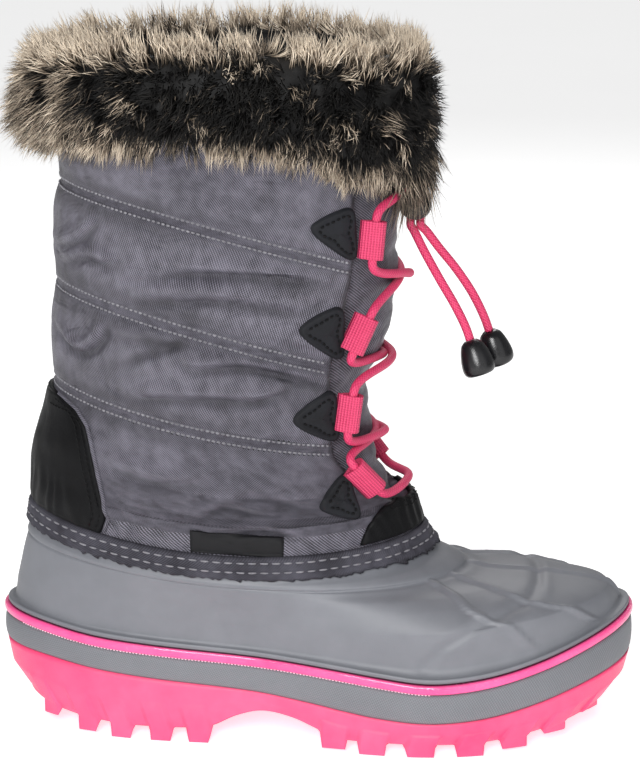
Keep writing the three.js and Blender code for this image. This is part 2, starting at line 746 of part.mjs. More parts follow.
function makeVampPatch() {
  const half = (row) => ballHalfWidth * (row.half + 0.06);
  const up = (row) => rimHeight * (row.up + 0.005);
  const outer = THROAT.map((row) => [-half(row), up(row)]);
  const inner = [...THROAT].reverse().map((row) => [half(row), up(row)]);
  const throat = frontPrism([...outer, ...inner], along(0.5), along(1));
  const cutter = sidePrism(outlineOnSide(VAMP_PATCH), -SIDE_PRISM_REACH, SIDE_PRISM_REACH);
  return trimOnShaft(cutter.subtract(throat), leatherThickness);
}

// A triangle with full sides and round corners, as points round its outline
function patchOutline(row) {
  const corners = [row.tip, row.top, row.foot].map(([share, up]) => new THREE.Vector2(along(share), rimHeight * up));
  const middle = corners.reduce((sum, c) => sum.add(c), new THREE.Vector2()).divideScalar(3);
  const points = [];
  corners.forEach((corner, i) => {
    const next = corners[(i + 1) % 3];
    const side = corner.clone().lerp(next, 0.5);
    points.push(corner.clone().lerp(next, 0.1));
    points.push(side.add(side.clone().sub(middle).multiplyScalar(i === 1 ? 0.04 : 0.16)));
    points.push(corner.clone().lerp(next, 0.9));
  });
  return points.map((p) => [p.x, p.y]);
}

function makeLacePatch(row, side) {
  const from = side < 0 ? -SIDE_PRISM_REACH : 0;
  return trimOnShaft(sidePrism(patchOutline(row), from, from + SIDE_PRISM_REACH), leatherThickness);
}

function makeLabel() {
  const { from, to, foot, top } = LABEL;
  const outline = outlineOnSide([
    [from, foot[0]],
    [to, foot[1]],
    [to, top[1]],
    [from, top[0]],
  ]);
  return trimOnShaft(sidePrism(outline, -SIDE_PRISM_REACH, 0), labelThickness);
}

// How far the gusset's middle lies out of the shaft's own line at a height
function foldAt(height) {
  return ballHalfWidth * column(FOLDS, "out", height / rimHeight, "up") - gussetSink;
}

// Gusset behind the throat: under the shaft at both edges and full in the middle
function makeGusset() {
  const rows = 14;
  const columns = 9;
  const under = -shaftWall - 2 * clearance;
  const outside = [];
  const inside = [];
  for (let r = 0; r < rows; r += 1) {
    const up = GUSSET.foot + (GUSSET.top - GUSSET.foot) * (r / (rows - 1));
    const throat = column(THROAT, "half", Math.min(Math.max(up, 0.375), 1), "up");
    const row = (depth) =>
      Array.from({ length: columns }, (_, c) => {
        const across = (2 * c) / (columns - 1) - 1;
        const half = ballHalfWidth * (throat + 0.12) * Math.abs(across);
        const turn = turnAt(rimHeight * up, half, across < 0 ? -1 : 1);
        const full = Math.max(0, 1 - (half / (ballHalfWidth * (throat - 0.06))) ** 4);
        const low = r < 2 ? 0 : 1;
        const offset = under + (foldAt(rimHeight * up) - under) * full * low;
        return skinPoint(levelAt(rimHeight * up, turn), turn, offset - depth);
      });
    outside.push(row(0));
    inside.push(row(gussetThickness));
  }
  return solidOfGrids(outside, inside);
}

// Lacing

// Where a loop's channel lies: its middle, the way along the throat's edge and the way out
function loopPlace(row, side) {
  const height = rimHeight * row.up;
  const turn = turnAt(height, ballHalfWidth * row.half, side);
  const level = levelAt(height, turn);
  const onSkin = skinPoint(level, turn, 0);
  const out = skinPoint(level, turn, 1).sub(onSkin);
  const lean = THREE.MathUtils.degToRad(row.lean);
  const forward = new THREE.Vector3(0, -side, 0).addScaledVector(out, side * out.y).normalize();
  const up = new THREE.Vector3().crossVectors(out, forward).multiplyScalar(side).normalize();
  if (up.z < 0) up.negate();
  up.applyAxisAngle(out, lean * side);
  const ahead = new THREE.Vector3().crossVectors(up, out).normalize();
  if (ahead.y * side > 0) ahead.negate();
  const middle = onSkin.addScaledVector(out, loopThickness / 2 + clearance + puffAt(level));
  return { middle, up, out, ahead };
}

// A loop of webbing: a flat tube round the lace, its fold to the front
function makeLoop(row, side) {
  const { middle, up, out, ahead } = loopPlace(row, side);
  const section = (depth, thick) => {
    const points = [];
    for (let i = 0; i <= 4; i += 1) {
      const turn = (Math.PI * i) / 4 - Math.PI / 2;
      points.push([depth / 2 - thick / 2 + (thick / 2) * Math.cos(turn), (thick / 2) * Math.sin(turn)]);
    }
    points.push([-depth / 2, 0.36 * thick], [-depth / 2, -0.36 * thick]);
    return points;
  };
  const ring = (points, height) =>
    points.map(([a, o]) =>
      middle.clone().addScaledVector(ahead, a).addScaledVector(out, o).addScaledVector(up, height),
    );
  const outer = section(loopDepth, loopThickness);
  const inner = section(loopDepth - 2 * webbingThickness, loopThickness - 2 * webbingThickness);
  const half = loopLength / 2;
  return solidOfRings([ring(outer, -half), ring(outer, half), ring(inner, half), ring(inner, -half)], true);
}

// The lace's route: up through the loops, crossing from side to side in front of the gusset
function laceRoute() {
  const reach = loopLength / 2 + 2.6;
  const over = cordDiameter + 2 * clearance;
  const lowest = LOOPS.length - 1;
  const passage = (i, side) => {
    const { middle, up, ahead } = loopPlace(LOOPS[i], side);
    const centre = middle.clone().addScaledVector(ahead, 0.8);
    const at = (distance) => centre.clone().addScaledVector(up, distance);
    return { top: at(reach), centre, foot: at(-reach) };
  };
  // The middle of a crossing between two loops, on or over the other strand
  const crossing = (a, b, lift) => {
    const height = (a.z + b.z) / 2;
    const level = levelAt(height, Math.PI);
    return skinPoint(level, Math.PI, foldAt(height) + cordDiameter / 2 + 5 * clearance + lift);
  };
  const up = (side, lift) => {
    const points = [];
    for (let i = lowest; i >= 0; i -= 1) {
      const here = passage(i, side);
      points.push(here.foot, here.centre, here.top);
      if (i > 0) points.push(crossing(here.top, passage(i - 1, -side).foot, lift));
      side = -side;
    }
    return points;
  };
  const outer = up(-1, 0);
  const inner = up(1, over);
  const bottom = skinPoint(levelAt(outer[0].z - 1, Math.PI), Math.PI, cordDiameter / 2 + leatherThickness + 3 * clearance);
  return [...outer.reverse(), bottom, ...inner];
}

// Cord lock at the top of the lacing, with its pressed-out button towards the outer side
const lockHeight = rimHeight * 0.782;
const lockMiddle = skinPoint(levelAt(lockHeight, Math.PI), Math.PI, lockRadius + foldAt(lockHeight) + 2 * clearance);
const cordGap = cordDiameter + clearance; // between the two cords in the lock
const slotLength = cordGap + cordDiameter + 2 * clearance;
const slotWidth = cordDiameter + 4 * clearance;

// A round of some radius about the lock's axis, from one distance along it to another
function lockRound(radius, from, to) {
  const geometry = new THREE.CylinderGeometry(radius, radius, to - from, 14);
  geometry.translate(0, (from + to) / 2, 0);
  geometry.translate(lockMiddle.x, lockMiddle.y, lockMiddle.z);
  return solidOfGeometry(geometry);
}

// An upright slot through the lock for both cords, from one distance along the axis to another
function lockSlot(from, to) {
  const geometry = new THREE.BoxGeometry(slotLength, to - from, 3 * lockRadius);
  geometry.translate(lockMiddle.x, lockMiddle.y + (from + to) / 2, lockMiddle.z);
  return solidOfGeometry(geometry);
}

function makeLock() {
  const half = lockLength / 2;
  const body = lockRound(lockRadius, -half, half);
  const bore = lockRound(buttonRadius + clearance, -half - 1, half - lockWall);
  return body.subtract(bore).subtract(lockSlot(-slotWidth / 2, slotWidth / 2));
}

function makeButton() {
  const half = lockLength / 2;
  const stem = lockRound(buttonRadius, -half - buttonProud, half - lockWall - buttonTravel - 2 * clearance);
  return stem.subtract(lockSlot(-slotWidth / 2 - buttonTravel, slotWidth / 2));
}

// From the top loop over into the lock from above, down through it and out
function laceTails() {
  const route = laceRoute();
  const tail = (start, shift) => {
    const x = lockMiddle.x + shift;
    const side = Math.sign(start.y);
    const rise = lockMiddle.z + lockRadius;
    return [
      new THREE.Vector3((start.x * 2 + x) / 3 + 1.5, 0.62 * start.y, start.z + 4.5),
      new THREE.Vector3((start.x + 2 * x) / 3 + 1.5, 0.28 * start.y, rise + 4.6),
      new THREE.Vector3(x, side, rise + 3),
      new THREE.Vector3(x, 0, rise + 1),
      new THREE.Vector3(x, 0, lockMiddle.z),
      new THREE.Vector3(x, 0, lockMiddle.z - lockRadius - 0.5),
    ];
  };
  const first = route[0];
  const last = route[route.length - 1];
  return { route, atFirst: tail(first, -cordGap / 2).reverse(), atLast: tail(last, cordGap / 2) };
}

function makeLace() {
  const { route, atFirst, atLast } = laceTails();
  return tubeAlong([...atFirst, ...route, ...atLast], cordDiameter / 2, CORD_SIDES, 88);
}

// Free ends of the lace below the lock, as points from the lock's foot
const END_OUTER = [
  [0, 0, 0],
  [0.1, 0, -1.8],
  [1.4, -0.6, -4],
  [5, -1.6, -11],
  [11, -3.2, -21.5],
  [17, -4.6, -31.5],
  [21, -5.4, -39.5],
  [22.6, -5.8, -44],
];
const END_INNER = [
  [0, 0, 0],
  [0.2, 0, -1.8],
  [2.2, 0.6, -4],
  [7, 1.8, -10.5],
  [13.6, 3.6, -19],
  [19.8, 5, -28.5],
  [24.4, 6, -38],
  [26.2, 6.4, -43],
];
const lockFoot = lockMiddle.z - lockRadius - 0.5 - clearance;

function endPoints(table, shift) {
  return table.map(([x, y, z]) => new THREE.Vector3(lockMiddle.x + shift + x, y, lockFoot + z));
}

function makeLaceEnd(table, shift) {
  return tubeAlong(endPoints(table, shift), cordDiameter / 2, CORD_SIDES + 2, 10);
}

// Bell on the cord: a closed turned body with its mouth round the cord's end
function makeBell(table, shift) {
  const points = endPoints(table, shift);
  const end = points[points.length - 1];
  const down = end.clone().sub(points[points.length - 2]).normalize();
  const radius = cordEndDiameter / 2;
  const profile = [
    [0, 0],
    [0.45 * radius, 0],
    [0.62 * radius, 0.08],
    [0.86 * radius, 0.42],
    [radius, 0.78],
    [0.93 * radius, 0.93],
    [0.7 * radius, 1],
    [0, 1],
  ].map(([r, share]) => new THREE.Vector2(r, -cordEndLength * share));
  const geometry = new THREE.LatheGeometry(profile, 12);
  geometry.applyQuaternion(new THREE.Quaternion().setFromUnitVectors(new THREE.Vector3(0, -1, 0), down));
  const start = end.clone().addScaledVector(down, clearance);
  geometry.translate(start.x, start.y, start.z);
  return solidOfGeometry(geometry);
}

// Fur collar

function furRow(key, turn) {
  const degrees = THREE.MathUtils.radToDeg(turn);
  return column(FUR, key, degrees > 180 ? 360 - degrees : degrees, "degrees");
}

// A point of the collar: an offset out of the shaft's top edge, and a height
function furPoint(turn, offset, height) {
  const p = skinPoint(LEVEL.top, turn, 0);
  const ahead = skinPoint(LEVEL.top, turn + 0.002, 0).sub(skinPoint(LEVEL.top, turn - 0.002, 0));
  const out = new THREE.Vector3(-ahead.y, ahead.x, 0).normalize();
  if (out.x * (p.x - along(0.37)) + out.y * p.y < 0) out.negate();
  return new THREE.Vector3(p.x + out.x * offset, p.y + out.y * offset, height);
}

function furRing(offset, share) {
  return angles().map((turn) => {
    const foot = rimHeight * furRow("foot", turn);
    const top = rimHeight * furRow("top", turn);
    return furPoint(turn, furRow("out", turn) * offset, foot + (top - foot) * share);
  });
}

// A tuft: a three-sided spike on the collar, its root inside the fur
function tuft(turn, offset, height, lean, length) {
  const width = 5;
  const root = furPoint(turn, offset, height);
  const tip = furPoint(turn + lean * 0.06, offset + Math.abs(lean) * 0.6, height + length);
  const beside = furPoint(turn + 0.05, offset, height).sub(root).setLength(width);
  const out = furPoint(turn, offset + 1, height).sub(root).setLength(width);
  const corners = [
    root.clone().add(beside),
    root.clone().sub(beside),
    root.clone().addScaledVector(out, 0.5),
    tip,
    root.clone().addScaledVector(out, -0.7),
  ];
  const positions = corners.flatMap((p) => [p.x, p.y, p.z]);
  return solidOf(positions, [0, 2, 3, 2, 1, 3, 1, 4, 3, 4, 0, 3, 0, 4, 2, 4, 1, 2]);
}

function makeFur() {
  const inner = furInside + shaftWall;
  const innerRing = (offset, drop) =>
    angles().map((turn) => furPoint(turn, -offset, rimHeight * furRow("top", turn) - drop));
  const foot = (offset) => angles().map((turn) => furPoint(turn, offset, rimHeight * furRow("foot", turn)));
  const rings = [
    foot(0.5),
    furRing(0.45, 0.03),
    furRing(0.85, 0.22),
    furRing(1, 0.5),
    furRing(0.8, 0.84),
    furRing(0.35, 0.985),
    innerRing(shaftWall, 1.5),
    innerRing(inner, 8),
    innerRing(inner, furInsideDepth + 8),
    innerRing(shaftWall * 0.4, furInsideDepth + 8),
  ];
  let fur = solidOfRings(rings, true);
  for (let i = 0; i < lockCount; i += 1) {
    const turn = (2 * Math.PI * (i + 0.5)) / lockCount;
    const lean = ((i * 7) % 5) / 2 - 1;
    const reach = 6 + ((i * 5) % 4);
    const out = furRow("out", turn);
    const byLock = Math.abs(turn - Math.PI) < 0.4;
    if (!byLock) fur = fur.add(tuft(turn, 0.55 * out, rimHeight * furRow("foot", turn) + 6, lean, -reach - 5));
    fur = fur.add(tuft(turn, 0.55 * out, rimHeight * furRow("top", turn) - 6, lean, reach + 1));
  }
  const shaft = solidOfRings(shaftRings(clearance, clearance, clearance), true);
  const pocket = lockRound(lockRadius + 1, -lockLength, lockLength);
  return fur.subtract(shaft).subtract(pocket);
}

add("outsole", makeOutsole(), "pinkRubber");
add("midsole_band", makeBand(), "bandRubber");
add("piping", makePiping(), "pinkRubber");
add("rubber_shell", makeShell(), "greyRubber");
add("insole", makeInsole(), "felt");
add("shaft", makeShaft(), "nylon");
add("binding", makeBinding(), "bindingCloth");
add("heel_counter", makeCounter(), "leather");
add("vamp_patch", makeVampPatch(), "leather");
add("tongue_gusset", makeGusset(), "nylon");
add("side_label", makeLabel(), "woven");
for (const [sideName, side] of [["outer", -1], ["inner", 1]]) {
  PATCHES.forEach((row, i) => add(`lace_patch_${sideName}_${i + 1}`, makeLacePatch(row, side), "leather"));
  LOOPS.forEach((row, i) => add(`webbing_loop_${sideName}_${i + 1}`, makeLoop(row, side), "webbing"));
}
add("lace", makeLace(), "cord");
add("lace_end_outer", makeLaceEnd(END_OUTER, -cordGap / 2), "cord");
add("lace_end_inner", makeLaceEnd(END_INNER, cordGap / 2), "cord");
add("cord_end_outer", makeBell(END_OUTER, -cordGap / 2), "plastic");
add("cord_end_inner", makeBell(END_INNER, cordGap / 2), "plastic");
add("cord_lock", makeLock(), "plastic");
add("lock_button", makeButton(), "plastic");
add("fur_collar", makeFur(), "fur");

export default boot;
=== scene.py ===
"""Snow boot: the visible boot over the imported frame, its finishes, its light and its camera.

Every new surface is a grid of points worked out with numpy in millimetres and written into its mesh
in metres. X runs to the toe, Y to the inner side of the foot and Z up, as in the frame.
"""

import logging
import math
from dataclasses import dataclass
from enum import Enum

import bmesh
import bpy
import mathutils
import numpy as np
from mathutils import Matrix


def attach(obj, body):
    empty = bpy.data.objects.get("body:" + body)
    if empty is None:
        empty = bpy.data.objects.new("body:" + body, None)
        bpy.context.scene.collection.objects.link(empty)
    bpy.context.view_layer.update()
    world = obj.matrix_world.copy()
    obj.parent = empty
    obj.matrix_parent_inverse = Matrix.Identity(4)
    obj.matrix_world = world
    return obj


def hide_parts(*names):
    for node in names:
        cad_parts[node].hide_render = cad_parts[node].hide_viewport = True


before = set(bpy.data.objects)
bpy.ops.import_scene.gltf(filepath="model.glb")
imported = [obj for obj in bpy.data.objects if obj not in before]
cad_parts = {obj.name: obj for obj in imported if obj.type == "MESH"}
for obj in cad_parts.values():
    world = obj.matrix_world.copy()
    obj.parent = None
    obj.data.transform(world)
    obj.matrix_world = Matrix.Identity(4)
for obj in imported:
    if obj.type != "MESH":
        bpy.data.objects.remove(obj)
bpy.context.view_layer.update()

LOG = logging.getLogger("snow_boot")
MM = 0.001
FULL_TURN = 2.0 * math.pi
SHAFT_REACH = 60.0  # millimetres of shaft that one radian of turn spans
LEVEL_RISE = 36.0  # millimetres between two seams, one level apart


class Side(Enum):
    """The two long sides of the boot, by the sign of Y that each has."""

    OUTER = -1
    INNER = 1

    @property
    def word(self) -> str:
        """The side's name as the frame's nodes spell it."""
        return self.name.lower()


# Helpers for numbers and vectors


def unit(vectors: np.ndarray) -> np.ndarray:
    """Vectors of length one: each vector divided by its own length."""
    return vectors / np.maximum(np.linalg.norm(vectors, axis=-1, keepdims=True), 1e-9)


def smooth(low: float, high: float, value: np.ndarray) -> np.ndarray:
    """Smooth step from 0 at low to 1 at high: 3 t squared less 2 t cubed."""
    t = np.clip((np.asarray(value, float) - low) / (high - low), 0.0, 1.0)
    return t * t * (3.0 - 2.0 * t)


def hump(low: float, high: float, edge: float, value: np.ndarray) -> np.ndarray:
    """One between low and high, falling smoothly to zero over an edge on both sides."""
    return smooth(low - edge, low, value) * (1.0 - smooth(high, high + edge, value))


def ripple(points: np.ndarray, size: float, seed: int, waves: int = 18) -> np.ndarray:
    """Soft noise of height about one: a sum of sines that run in seeded directions.

    Args:
        points: Places in millimetres, any shape ending in 3.
        size: Length of a typical wave in millimetres.
        seed: Number that picks the directions and phases.
        waves: How many sines are summed.

    Returns:
        The noise at each place.
    """
    draw = np.random.default_rng(seed)
    ways = unit(draw.normal(size=(waves, 3))) * draw.uniform(0.6, 1.6, (waves, 1)) * FULL_TURN / size
    phases = draw.uniform(0.0, FULL_TURN, waves)
    return np.sin(points @ ways.T + phases).sum(axis=-1) / math.sqrt(waves / 2.0) * 0.7


def smooth_curve(points: np.ndarray, count: int) -> np.ndarray:
    """Points along a smooth curve through given ones, evenly spaced along its length.

    Between two points the curve is the centripetal Catmull-Rom one: its knots lie the root of each
    stride apart, and the ends are carried on straight.

    Args:
        points: The places the curve goes through, one a row.
        count: How many points to give back.

    Returns:
        The evenly spaced points.
    """
    places = np.asarray(points, float)
    before = 2.0 * places[0] - places[1]
    after = 2.0 * places[-1] - places[-2]
    knots = np.vstack([before, places, after])
    stride = np.sqrt(np.maximum(np.linalg.norm(np.diff(knots, axis=0), axis=1), 1e-6))
    share = np.linspace(0.0, 1.0, 24, endpoint=False)[:, None, None]
    p0, p1, p2, p3 = (knots[i : len(knots) - 3 + i] for i in range(4))
    s0, s1, s2 = (stride[i : len(stride) - 2 + i][:, None] for i in range(3))
    m1 = (p1 - p0) / s0 - (p2 - p0) / (s0 + s1) + (p2 - p1) / s1
    m2 = (p2 - p1) / s1 - (p3 - p1) / (s1 + s2) + (p3 - p2) / s2
    m1, m2 = m1 * s1, m2 * s1
    t = share
    dense = (
        (2 * t**3 - 3 * t**2 + 1) * p1 + (t**3 - 2 * t**2 + t) * m1
        + (3 * t**2 - 2 * t**3) * p2 + (t**3 - t**2) * m2
    )
    dense = np.vstack([dense.transpose(1, 0, 2).reshape(-1, places.shape[1]), places[-1]])
    return spread(dense, count)


def length_along(line: np.ndarray) -> np.ndarray:
    """Length from a line's first point to each of its points: the strides summed."""
    return np.concatenate([[0.0], np.cumsum(np.linalg.norm(np.diff(line, axis=0), axis=1))])


def spread(line: np.ndarray, count: int) -> np.ndarray:
    """The same line with a number of points at equal distances along it."""
    length = length_along(line)
    at = np.linspace(0.0, length[-1], count)
    return np.stack([np.interp(at, length, line[:, k]) for k in range(line.shape[1])], axis=1)


class Table:
    """Rows of numbers read smoothly at any place between them."""

    def __init__(self, names: str, rows: list[tuple[float, ...]]) -> None:
        """Keep the rows under their columns' names; the first column is the place."""
        self.names = names.split()
        self.rows = np.array(rows, float)

    def read(self, name: str, place: np.ndarray) -> np.ndarray:
        """Cubic through the rows, each row's slope taken from the rows on both sides of it.

        Args:
            name: The column to read.
            place: Places along the first column.

        Returns:
            The column's value at each place, held at the first and last row.
        """
        at = self.rows[:, 0]
        value = self.rows[:, self.names.index(name)]
        place = np.asarray(place, float)
        i = np.searchsorted(at[1:-1], place, side="left")
        a, b, c, d = np.maximum(i - 1, 0), i, i + 1, np.minimum(i + 2, len(at) - 1)
        span = at[c] - at[b]
        t = np.clip((place - at[b]) / span, 0.0, 1.0)
        slope_b = (value[c] - value[a]) / (at[c] - at[a]) * span
        slope_c = (value[d] - value[b]) / (at[d] - at[b]) * span
        return (
            (2 * t**3 - 3 * t**2 + 1) * value[b] + (t**3 - 2 * t**2 + t) * slope_b
            + (3 * t**2 - 2 * t**3) * value[c] + (t**3 - t**2) * slope_c
        )


# The last: the same tables and surface as the part's source, so that each new piece lies on it


PLAN = Table("at half swing", [
    (0, 1.02, 0), (0.08, 0.97, 0), (0.2, 0.885, 0), (0.4, 0.775, -0.035), (0.55, 0.875, -0.07),
    (0.68, 1.06, -0.035), (0.8, 1.18, 0.02), (0.92, 1.24, 0.075), (1, 1.26, 0.11),
])
SIDE_LINES = Table("at base band rim", [
    (0, 0.36, 0.783, 1.043), (0.075, 0.215, 0.75, 0.985), (0.158, 0.135, 0.675, 0.905),
    (0.242, 0.125, 0.625, 0.86), (0.329, 0.155, 0.58, 0.82), (0.375, 0.275, 0.556, 0.8),
    (0.417, 0.335, 0.53, 0.78), (0.467, 0.29, 0.49, 0.755), (0.512, 0.19, 0.45, 0.73),
    (0.55, 0.12, 0.41, 0.705), (0.6, 0.11, 0.365, 0.67), (0.683, 0.105, 0.333, 0.625),
    (0.767, 0.11, 0.372, 0.67), (0.85, 0.155, 0.472, 0.78), (0.925, 0.235, 0.59, 0.915),
    (1, 0.38, 0.7, 1.06),
])
SECTIONS = Table("level back front half foot seat zBack zSide zFront", [
    (0, 0.0125, 0.9875, 0.935, 1, 1, 0.19, 0.14, 0.19),
    (1, 0.019, 0.963, 0.955, 0.95, 0, 0.214, 0.15, 0.211),
    (2, 0.025, 0.888, 0.945, 0.82, 0, 0.238, 0.18, 0.2255),
    (3, 0.03, 0.825, 0.93, 0.6, 0, 0.26, 0.204, 0.232),
    (4, 0.036, 0.758, 0.91, 0.35, 0, 0.281, 0.22, 0.239),
    (5, 0.0455, 0.688, 0.885, 0.12, 0, 0.3055, 0.233, 0.27),
    (6, 0.05, 0.665, 0.872, 0, 0, 0.341, 0.268, 0.305),
    (7, 0.0635, 0.628, 0.86, 0, 0, 0.42, 0.355, 0.372),
    (8, 0.086, 0.605, 0.868, 0, 0, 0.525, 0.465, 0.43),
    (9, 0.092, 0.61, 0.92, 0, 0, 0.671, 0.624, 0.535),
    (10, 0.102, 0.638, 0.955, 0, 0, 0.817, 0.774, 0.682),
    (11, 0.1035, 0.636, 0.975, 0, 0, 0.9, 0.875, 0.815),
    (12, 0.106, 0.633, 0.98, 0, 0, 0.97, 0.97, 0.955),
])
THROAT = np.array([
    (0.345, 0.12), (0.352, 0.3), (0.375, 0.48), (0.43, 0.61), (0.56, 0.68), (1.1, 0.68),
])
FOLDS = Table("up out", [
    (0.3, 0), (0.4, 0.03), (0.455, 0.01), (0.52, -0.045), (0.58, 0.06), (0.65, 0.045), (0.71, 0.03),
    (0.8, 0.05), (1, 0),
])


@dataclass(frozen=True)
class Last:
    """The boot's form: every surface point of the sole's plan and of the upper, in millimetres."""

    sole_length: float = 240.0
    heel_setback: float = 38.0
    ball_half: float = 46.0
    stack: float = 40.0
    rim: float = 257.0
    piping_height: float = 3.4
    ledge_height: float = 2.0
    gap: float = 0.3
    quilt_puff: float = 1.6
    gusset_sink: float = 5.5

    def along(self, share: np.ndarray) -> np.ndarray:
        """X of a share of the sole's length."""
        return self.sole_length * share - self.heel_setback

    def share_at(self, x: np.ndarray) -> np.ndarray:
        """Share of the sole's length at an X."""
        return (np.asarray(x, float) + self.heel_setback) / self.sole_length

    def line(self, name: str, x: np.ndarray) -> np.ndarray:
        """Height of one of the sole's side lines at an X."""
        return self.stack * SIDE_LINES.read(name, self.share_at(x))

    def swing(self, x: np.ndarray) -> np.ndarray:
        """Y of the sole's middle at an X."""
        return self.ball_half * PLAN.read("swing", self.share_at(x))

    def plan(self, turn: np.ndarray, inset: np.ndarray, end_inset: np.ndarray) -> np.ndarray:
        """Plan point at a turn: X by the cosine along the sole, Y the swing less half width times sine.

        Args:
            turn: Angle round the sole from the heel, past the outer side, in radians.
            inset: How far the sides are drawn in.
            end_inset: How far the heel and the toe are drawn in.

        Returns:
            Points of two numbers.
        """
        share = (1.0 - np.cos(turn)) / 2.0
        x = self.along(0.0) + end_inset + (self.sole_length - 2.0 * end_inset) * share
        half = (self.ball_half - inset) * PLAN.read("half", self.share_at(x)) * np.sin(turn)
        return np.stack([x, self.swing(x) - half], axis=-1)

    def ring(self, turn: np.ndarray, inset: np.ndarray, end_inset: np.ndarray, height: np.ndarray) -> np.ndarray:
        """Plan points lifted to a height, which is one per point."""
        flat = self.plan(turn, inset, end_inset)
        return np.concatenate([flat, np.broadcast_to(height, flat.shape[:-1])[..., None]], axis=-1)

    def upper(self, level: np.ndarray, turn: np.ndarray) -> np.ndarray:
        """Upper's surface: a section read at the level, round by the turn, its height by squares.

        The height is the side's, drawn to the back's by the square of one less the share along and
        to the front's by the square of the share.
        """
        level, turn = np.broadcast_arrays(np.asarray(level, float), np.asarray(turn, float))
        share = (1.0 - np.cos(turn)) / 2.0
        back = self.along(SECTIONS.read("back", level))
        x = back + (self.along(SECTIONS.read("front", level)) - back) * share
        foot = SECTIONS.read("foot", level)
        at = self.share_at(x)
        fullness = foot * PLAN.read("half", at) + (1.0 - foot)
        middle = foot * self.ball_half * PLAN.read("swing", at)
        y = middle - self.ball_half * SECTIONS.read("half", level) * fullness * np.sin(turn)
        side = SECTIONS.read("zSide", level)
        free = side + (SECTIONS.read("zBack", level) - side) * (1.0 - share) ** 2
        free = free + (SECTIONS.read("zFront", level) - side) * share**2
        seat = np.maximum(SECTIONS.read("seat", level), 0.0)
        seated = self.line("rim", x) + self.piping_height + self.ledge_height + 2.0 * self.gap
        return np.stack([x, y, seat * seated + (1.0 - seat) * self.rim * free], axis=-1)

    def normal(self, level: np.ndarray, turn: np.ndarray) -> np.ndarray:
        """Outward normal of the upper: the way round crossed with the way up, by small steps."""
        low = np.maximum(np.asarray(level, float) - 0.02, 0.0)
        high = np.minimum(np.asarray(level, float) + 0.02, 12.0)
        up = self.upper(high, turn) - self.upper(low, turn)
        around = self.upper(level, np.asarray(turn) + 0.002) - self.upper(level, np.asarray(turn) - 0.002)
        return unit(np.cross(around, up))

    def skin(self, level: np.ndarray, turn: np.ndarray, offset: np.ndarray) -> np.ndarray:
        """Upper's surface moved out along its normal by an offset."""
        return self.upper(level, turn) + self.normal(level, turn) * np.asarray(offset, float)[..., None]

    def level_at(self, height: np.ndarray, turn: np.ndarray) -> np.ndarray:
        """Level at which the upper reaches a height at a turn, by halving."""
        height, turn = np.broadcast_arrays(np.asarray(height, float), np.asarray(turn, float))
        low = np.full(height.shape, 3.0)
        high = np.full(height.shape, 12.0)
        for _ in range(20):
            middle = (low + high) / 2.0
            below = self.upper(middle, turn)[..., 2] < height
            low = np.where(below, middle, low)
            high = np.where(below, high, middle)
        return (low + high) / 2.0

    def turn_at(self, height: np.ndarray, half: np.ndarray, side: int) -> np.ndarray:
        """Turn at a height where the front half of the surface lies a distance from the middle."""
        height, half = np.broadcast_arrays(np.asarray(height, float), np.asarray(half, float))
        low = np.full(height.shape, math.pi / 2.0)
        high = np.full(height.shape, math.pi)
        for _ in range(18):
            middle = (low + high) / 2.0
            wide = -self.upper(self.level_at(height, middle), middle)[..., 1] > half
            low = np.where(wide, middle, low)
            high = np.where(wide, high, middle)
        turn = (low + high) / 2.0
        return turn if side < 0 else FULL_TURN - turn

    def on_side(self, x: np.ndarray, z: np.ndarray, side: int) -> tuple[np.ndarray, np.ndarray]:
        """Level and turn of the side's point at an X and a height: halving on the level.

        Args:
            x: Places along the boot.
            z: Heights.
            side: -1 for the outer side, 1 for the inner.

        Returns:
            The levels and the turns.
        """
        x, z = np.broadcast_arrays(np.asarray(x, float), np.asarray(z, float))
        low = np.full(x.shape, 2.0)
        high = np.full(x.shape, 12.0)
        turn = np.zeros(x.shape)
        for _ in range(22):
            level = (low + high) / 2.0
            back = self.along(SECTIONS.read("back", level))
            front = self.along(SECTIONS.read("front", level))
            turn = np.arccos(np.clip(1.0 - 2.0 * (x - back) / (front - back), -1.0, 1.0))
            below = self.upper(level, turn)[..., 2] < z
            low = np.where(below, level, low)
            high = np.where(below, high, level)
        return level, turn if side < 0 else FULL_TURN - turn

    def puff(self, level: np.ndarray) -> np.ndarray:
        """Quilt's swell: nothing at each seam, and the sine between them to the power 0.6."""
        level = np.asarray(level, float)
        start = np.where(level < 8.0, 6.0, np.floor(np.minimum(level, 10.999)))
        end = np.where(level < 8.0, 8.0, start + 1.0)
        flat = 0.045
        share = np.clip(((level - start) / (end - start) - flat) / (1.0 - 2.0 * flat), 0.0, 1.0)
        swell = self.quilt_puff * np.maximum(np.sin(math.pi * share), 0.0) ** 0.6
        return np.where((level < 6.0) | (level > 11.0), 0.0, swell)

    def throat_half(self, height: np.ndarray) -> np.ndarray:
        """Half width of the throat at a height, nothing below its foot."""
        up = np.asarray(height, float) / self.rim
        return self.ball_half * np.interp(up, np.append(0.343, THROAT[:, 0]), np.append(0.0, THROAT[:, 1]))

    def fold(self, height: np.ndarray) -> np.ndarray:
        """How far the gusset's middle lies out of the shaft's line at a height."""
        return self.ball_half * FOLDS.read("out", np.asarray(height, float) / self.rim) - self.gusset_sink


LAST = Last()


# Meshes


